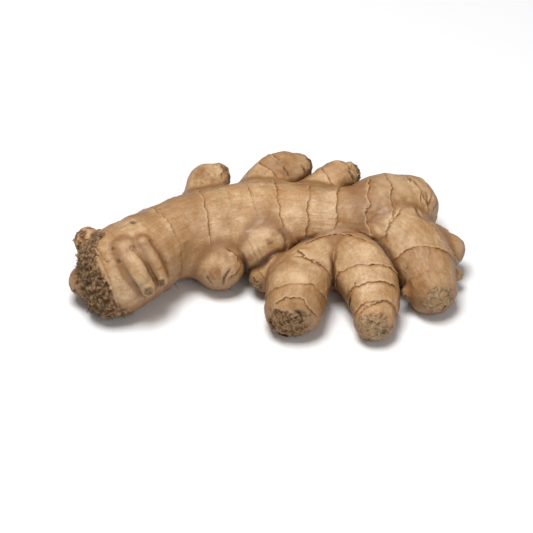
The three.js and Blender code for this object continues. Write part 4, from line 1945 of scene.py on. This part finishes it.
@dataclass
class TipScales:
    """Thin ragged scales that lie on the crusted tips, each with one side lifted.

    A scale is a disc of three rings of points with a ragged outline, laid on the skin and closed by a
    second sheet under it.
    """

    body: Body
    skin: Skin
    spokes: int = 12
    per_area: float = 0.11
    thickness: float = 0.14

    def build(self, finish: bpy.types.Material) -> bpy.types.Object:
        """Scatters the scales over the crusts, seeded, and joins them in one piece.

        Args:
            finish: The dry material.

        Returns:
            The piece.
        """
        draw = np.random.default_rng(SEED + 7)
        bits = Bits()
        for spot in SPOTS:
            if spot.kind not in (Kind.CRUST, Kind.PALE_CRUST):
                continue
            pale = spot.kind is Kind.PALE_CRUST
            count = int(self.per_area * math.pi * spot.radius**2 * (0.6 if pale else 1.0)) + 4
            middle = np.array(spot.centre) + draw.normal(size=(count, 3)) * spot.radius * 0.5
            middle, out = self.body.settle(middle)
            kept = np.linalg.norm(middle - np.array(spot.centre), axis=1) < spot.radius * 1.02
            for point, normal in zip(middle[kept], out[kept]):
                free = np.array(spot.centre) - point + draw.normal(size=3) * spot.radius * 0.3
                self.scale(bits, draw, point, normal, free, pale)
        return bits.piece("tip_scales", finish)

    def scale(
        self, bits: Bits, draw: np.random.Generator, point: Array, normal: Array, free: Array, pale: bool
    ) -> None:
        """Adds one scale.

        Its outline is an ellipse whose radius swings by three random harmonics and a random jitter. The
        height over the skin rises as the square of the way to the free side.

        Args:
            bits: Where the scale goes.
            draw: The random source.
            point: Its middle, on the body.
            normal: Outward direction there.
            free: Roughly the direction of its lifted side.
            pale: Whether it lies on a pale crust.
        """
        ahead = free - normal * (free @ normal)
        ahead /= np.linalg.norm(ahead)
        beside = np.cross(normal, ahead)
        turn = np.linspace(0, 2 * math.pi, self.spokes, endpoint=False)
        wave = sum(draw.uniform(0.04, 0.2) * np.sin(k * turn + draw.uniform(0, 6.3)) for k in (2, 3, 5))
        outline = draw.uniform(1.0, 2.9) * (1 + wave + draw.uniform(-0.2, 0.2, self.spokes))
        lift = draw.uniform(0.15, 0.35 if pale else 0.75)
        rings = [point[None]]
        ways = [np.zeros(1)]
        shares = [np.zeros(1)]
        for share in (0.45, 0.8, 1.0):
            forward = outline * share * np.cos(turn) * 0.75
            sideways = outline * share * np.sin(turn)
            rings.append(point + ahead * forward[:, None] + beside * sideways[:, None])
            ways.append(np.clip(0.5 + forward / 3.2, 0, 1))
            shares.append(np.full(self.spokes, share))
        base, out = self.body.settle(np.concatenate(rings), 2)
        way, share = np.concatenate(ways), np.concatenate(shares)
        level = self.skin.marks(base)["height"]
        level = 0.5 * level + 0.5 * level.mean() + 0.05
        top = base + out * (level + lift * 1.6 * way**2 - 0.25 * (1 - way) * share)[:, None]
        low = top - out * (self.thickness + 0.1 * (1 - share))[:, None]
        size = len(top)
        spoke = np.arange(self.spokes)
        after = (spoke + 1) % self.spokes
        fans = [np.stack([np.zeros(self.spokes, int), 1 + spoke, 1 + after], axis=1)]
        for ring in (1, 1 + self.spokes):
            one, two = ring + spoke, ring + after
            fans.append(np.stack([one, one + self.spokes, two + self.spokes], axis=1))
            fans.append(np.stack([one, two + self.spokes, two], axis=1))
        upper = np.concatenate(fans)
        rim = 1 + 2 * self.spokes
        one, two = rim + spoke, rim + after
        walls = [np.stack([one, one + size, two + size], axis=1), np.stack([one, two + size, two], axis=1)]
        faces = np.concatenate([upper, upper[:, ::-1] + size, *walls])
        tint = np.full(2 * size, draw.uniform(0, 0.25 if pale else 0.75))
        edge = np.tile(share, 2) * 0.8 + (0.45 if pale else 0.0) + draw.uniform(-0.2, 0.2)
        bits.add(np.concatenate([top, low]), faces, edge, tint)


@dataclass
class RootFibres:
    """Broken fibres of the torn left end: short hairs, longer splinters that lie on it, and stray roots.

    A fibre is a tapered tube whose spine bends by the square of its length.
    """

    body: Body
    skin: Skin
    hairs: int = 170
    splinters: int = 560
    sides: int = 5
    rows: int = 6

    def build(self, net: Net, normals: Array, finish: bpy.types.Material) -> bpy.types.Object:
        """Draws the fibres' roots from the skin where the fibre mask is strong, and joins all tubes.

        Args:
            net: The finished skin.
            normals: Its outward directions.
            finish: The material.

        Returns:
            The piece.
        """
        draw = np.random.default_rng(SEED + 6)
        able = np.flatnonzero((net.marks["fibre"] > 0.6) & (net.points[:, 2] > 2.0))
        bits = Bits()
        rows = draw.choice(able, size=min(self.hairs, len(able)), replace=False)
        ahead = normals[rows] * 0.7 + draw.normal(size=(len(rows), 3)) * 0.6
        length = draw.uniform(0.7, 1.9, len(rows))
        start = net.points[rows] - normals[rows] * 0.6
        self.tubes(bits, draw, start, ahead, length, draw.uniform(0.1, 0.24, len(rows)), 0.3)
        rows = draw.choice(able, size=min(self.splinters, len(able)), replace=False)
        grainwise = np.cross(normals[rows], (0.45, 0.8, 0.4)) + draw.normal(size=(len(rows), 3)) * 0.35
        grainwise *= draw.choice([-1.0, 1.0], len(rows))[:, None]
        inward = np.einsum("ij,ij->i", grainwise, normals[rows]) - 0.2
        ahead = grainwise - normals[rows] * inward[:, None]
        length = draw.uniform(1.6, 4.4, len(rows))
        start = net.points[rows] - normals[rows] * 0.35 - ahead * 0.3
        radius = draw.uniform(0.2, 0.5, len(rows))
        self.tubes(bits, draw, start, ahead, length, radius, 0.12, normals[rows] * -0.4)
        self.strays(bits, draw)
        return bits.piece("root_fibres", finish)

    def strays(self, bits: Bits, draw: np.random.Generator) -> None:
        """Adds a few thin root hairs on the underside's edge, where the photograph shows them.

        Args:
            bits: Where they go.
            draw: Seeded random draws.
        """
        points = np.array([(-22.0, -14.5, 6.0), (-46.0, -20.0, 7.0), (6.0, -20.0, 5.0), (66.0, -20.0, 5.0)])
        points, out = self.body.settle(points)
        ahead = out + (0.25, -0.1, -0.35)
        lengths = np.array([7.5, 4.0, 3.5, 3.0])
        self.tubes(bits, draw, points + PLAN_SHIFT - out * 0.5, ahead, lengths, np.full(4, 0.22), 0.3)

    def tubes(
        self,
        bits: Bits,
        draw: np.random.Generator,
        start: Array,
        ahead: Array,
        length: Array,
        radius: Array,
        curl: float,
        bend: Array | float = 0.0,
    ) -> None:
        """Carries a shrinking ring of points along each fibre's curve.

        Args:
            bits: Where the tubes go.
            draw: The random source.
            start: Their roots.
            ahead: Their first directions.
            length: Their lengths.
            radius: Their radii at the root, which fall to a fourth at the tip.
            curl: How far they bend at random, as a share of their length.
            bend: A steady bend, as a share of their length.
        """
        count = len(start)
        ahead = ahead / np.linalg.norm(ahead, axis=1, keepdims=True)
        curls = draw.normal(size=(count, 3)) * curl + bend
        share = np.linspace(0, 1, self.rows)[None, :, None]
        spine = start[:, None] + ahead[:, None] * length[:, None, None] * share
        spine = spine + curls[:, None] * length[:, None, None] * share**2
        across = np.cross(ahead, UP + 0.1)
        across /= np.linalg.norm(across, axis=1, keepdims=True)
        over = np.cross(ahead, across)
        turn = np.linspace(0, 2 * math.pi, self.sides, endpoint=False)[None, None, :, None]
        width = radius[:, None, None, None] * (1 - 0.75 * share[..., None])
        ring = across[:, None, None] * np.cos(turn) + over[:, None, None] * np.sin(turn)
        points = (spine[:, :, None] + ring * width).reshape(-1, 3) - PLAN_SHIFT
        number = np.arange(len(points)).reshape(count, self.rows, self.sides)
        after = np.roll(number, -1, axis=2)
        walls = np.stack([number[:, :-1], after[:, :-1], after[:, 1:], number[:, 1:]], axis=-1)
        walls = walls.reshape(-1, 4)
        ends = []
        for row, flip in ((0, True), (self.rows - 1, False)):
            cap = number[:, row]
            fan = np.concatenate([cap[:, [0, 1, 2]], cap[:, [0, 2, 3]], cap[:, [0, 3, 4]]])
            ends.append(fan[:, ::-1] if flip else fan)
        triangles = np.concatenate([walls[:, [0, 1, 2]], walls[:, [0, 2, 3]], *ends])
        edge = np.broadcast_to(share, (count, self.rows, 1)).repeat(self.sides, axis=2).ravel()
        tint = draw.uniform(0, 0.5, count).repeat(self.rows * self.sides)
        bits.add(points, triangles, edge, tint)


def dress(piece: bpy.types.Object) -> bpy.types.Object:
    """Makes a piece ride on the root's body and logs its size.

    Args:
        piece: The piece.

    Returns:
        The same piece.
    """
    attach(piece, BODY)
    log.info("%s: %d points, %d faces", piece.name, len(piece.data.vertices), len(piece.data.polygons))
    return piece


@dataclass(frozen=True)
class Studio:
    """A pale floor, soft lights and the camera at the photograph's angle."""

    elevation: float = 42.0
    away: float = 1.0
    aim: Point = (-0.00076, -0.01866, 0.020)
    lens: float = 137.8
    sensor: float = 36.0
    floor_size: float = 6.0
    floor_shade: float = 0.88
    world_light: float = 0.18

    def camera(self) -> None:
        """Places the camera, looking along +Y and down by the elevation."""
        data = bpy.data.cameras.new("camera")
        data.lens, data.sensor_width = self.lens, self.sensor
        data.clip_start, data.clip_end = 0.05, 50.0
        camera = bpy.data.objects.new("camera", data)
        tilt = math.radians(self.elevation)
        ahead = Vector((0.0, math.cos(tilt), -math.sin(tilt)))
        camera.location = Vector(self.aim) - ahead * self.away
        camera.rotation_euler = (math.radians(90.0 - self.elevation), 0.0, 0.0)
        bpy.context.scene.collection.objects.link(camera)
        bpy.context.scene.camera = camera

    def floor(self) -> None:
        """Lays the floor under the root."""
        half = self.floor_size / 2
        mesh = bpy.data.meshes.new("floor")
        corners = [(-half, -half, 0), (half, -half, 0), (half, half, 0), (-half, half, 0)]
        mesh.from_pydata(corners, [], [(0, 1, 2, 3)])
        material = bpy.data.materials.new("pale_floor")
        material.use_nodes = True
        shader = material.node_tree.nodes["Principled BSDF"]
        shader.inputs["Base Color"].default_value = (*[self.floor_shade] * 3, 1.0)
        shader.inputs["Roughness"].default_value = 0.9
        shader.inputs["Specular IOR Level"].default_value = 0.1
        mesh.materials.append(material)
        floor = bpy.data.objects.new("floor", mesh)
        bpy.context.scene.collection.objects.link(floor)

    def lamp(self, name: str, place: Point, size: float, power: float) -> None:
        """Adds a soft square lamp that faces the root.

        Args:
            name: Its name.
            place: Where it is.
            size: Its side.
            power: Its power.
        """
        data = bpy.data.lights.new(name, "AREA")
        data.shape, data.size, data.energy = "SQUARE", size, power
        lamp = bpy.data.objects.new(name, data)
        lamp.location = place
        lamp.rotation_euler = (Vector(self.aim) - Vector(place)).to_track_quat("-Z", "Y").to_euler()
        bpy.context.scene.collection.objects.link(lamp)

    def build(self) -> None:
        """Sets up the world, the floor, the lamps and the camera."""
        scene = bpy.context.scene
        scene.view_settings.view_transform = "Standard"
        world = bpy.data.worlds.new("studio")
        world.use_nodes = True
        background = world.node_tree.nodes["Background"]
        background.inputs["Color"].default_value = (1.0, 1.0, 1.0, 1.0)
        background.inputs["Strength"].default_value = self.world_light
        scene.world = world
        self.floor()
        self.lamp("key_lamp", (-0.15, -0.05, 1.15), 0.5, 14.1)
        self.lamp("front_lamp", (0.5, -0.9, 0.8), 0.8, 3.0)
        self.camera()


def main() -> None:
    """Builds the root's pieces in order and the studio round them."""
    logging.basicConfig(level=logging.INFO, format="%(name)s: %(message)s")
    Studio().build()
    for make in (streak_group, pore_group, blotch_group):
        make()
    body = Body(FINGERS)
    skin = Skin(body, RELIEF)
    net = raise_skin(body, skin, FINE_STEP)
    marks = dict(net.marks)
    marks["grain"] = np.stack([marks.pop(f"grain_{axis}") for axis in "xyz"], axis=1)
    height = marks.pop("height")
    log.info("relief from %.2f to %.2f mm", height.min(), height.max())
    root = dress(store("ginger_skin", net.points, net.faces, marks, SkinFinish().build()))
    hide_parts(NODE)
    dress(ScaleEdges(body, skin).build(PAPER.build()))
    dress(TipScales(body, skin).build(TIP.build()))
    normals = np.zeros(len(net.points) * 3, np.float32)
    root.data.vertices.foreach_get("normal", normals)
    dress(RootFibres(body, skin).build(net, normals.reshape(-1, 3), FIBRE.build()))


if __name__ == "__main__":
    main()
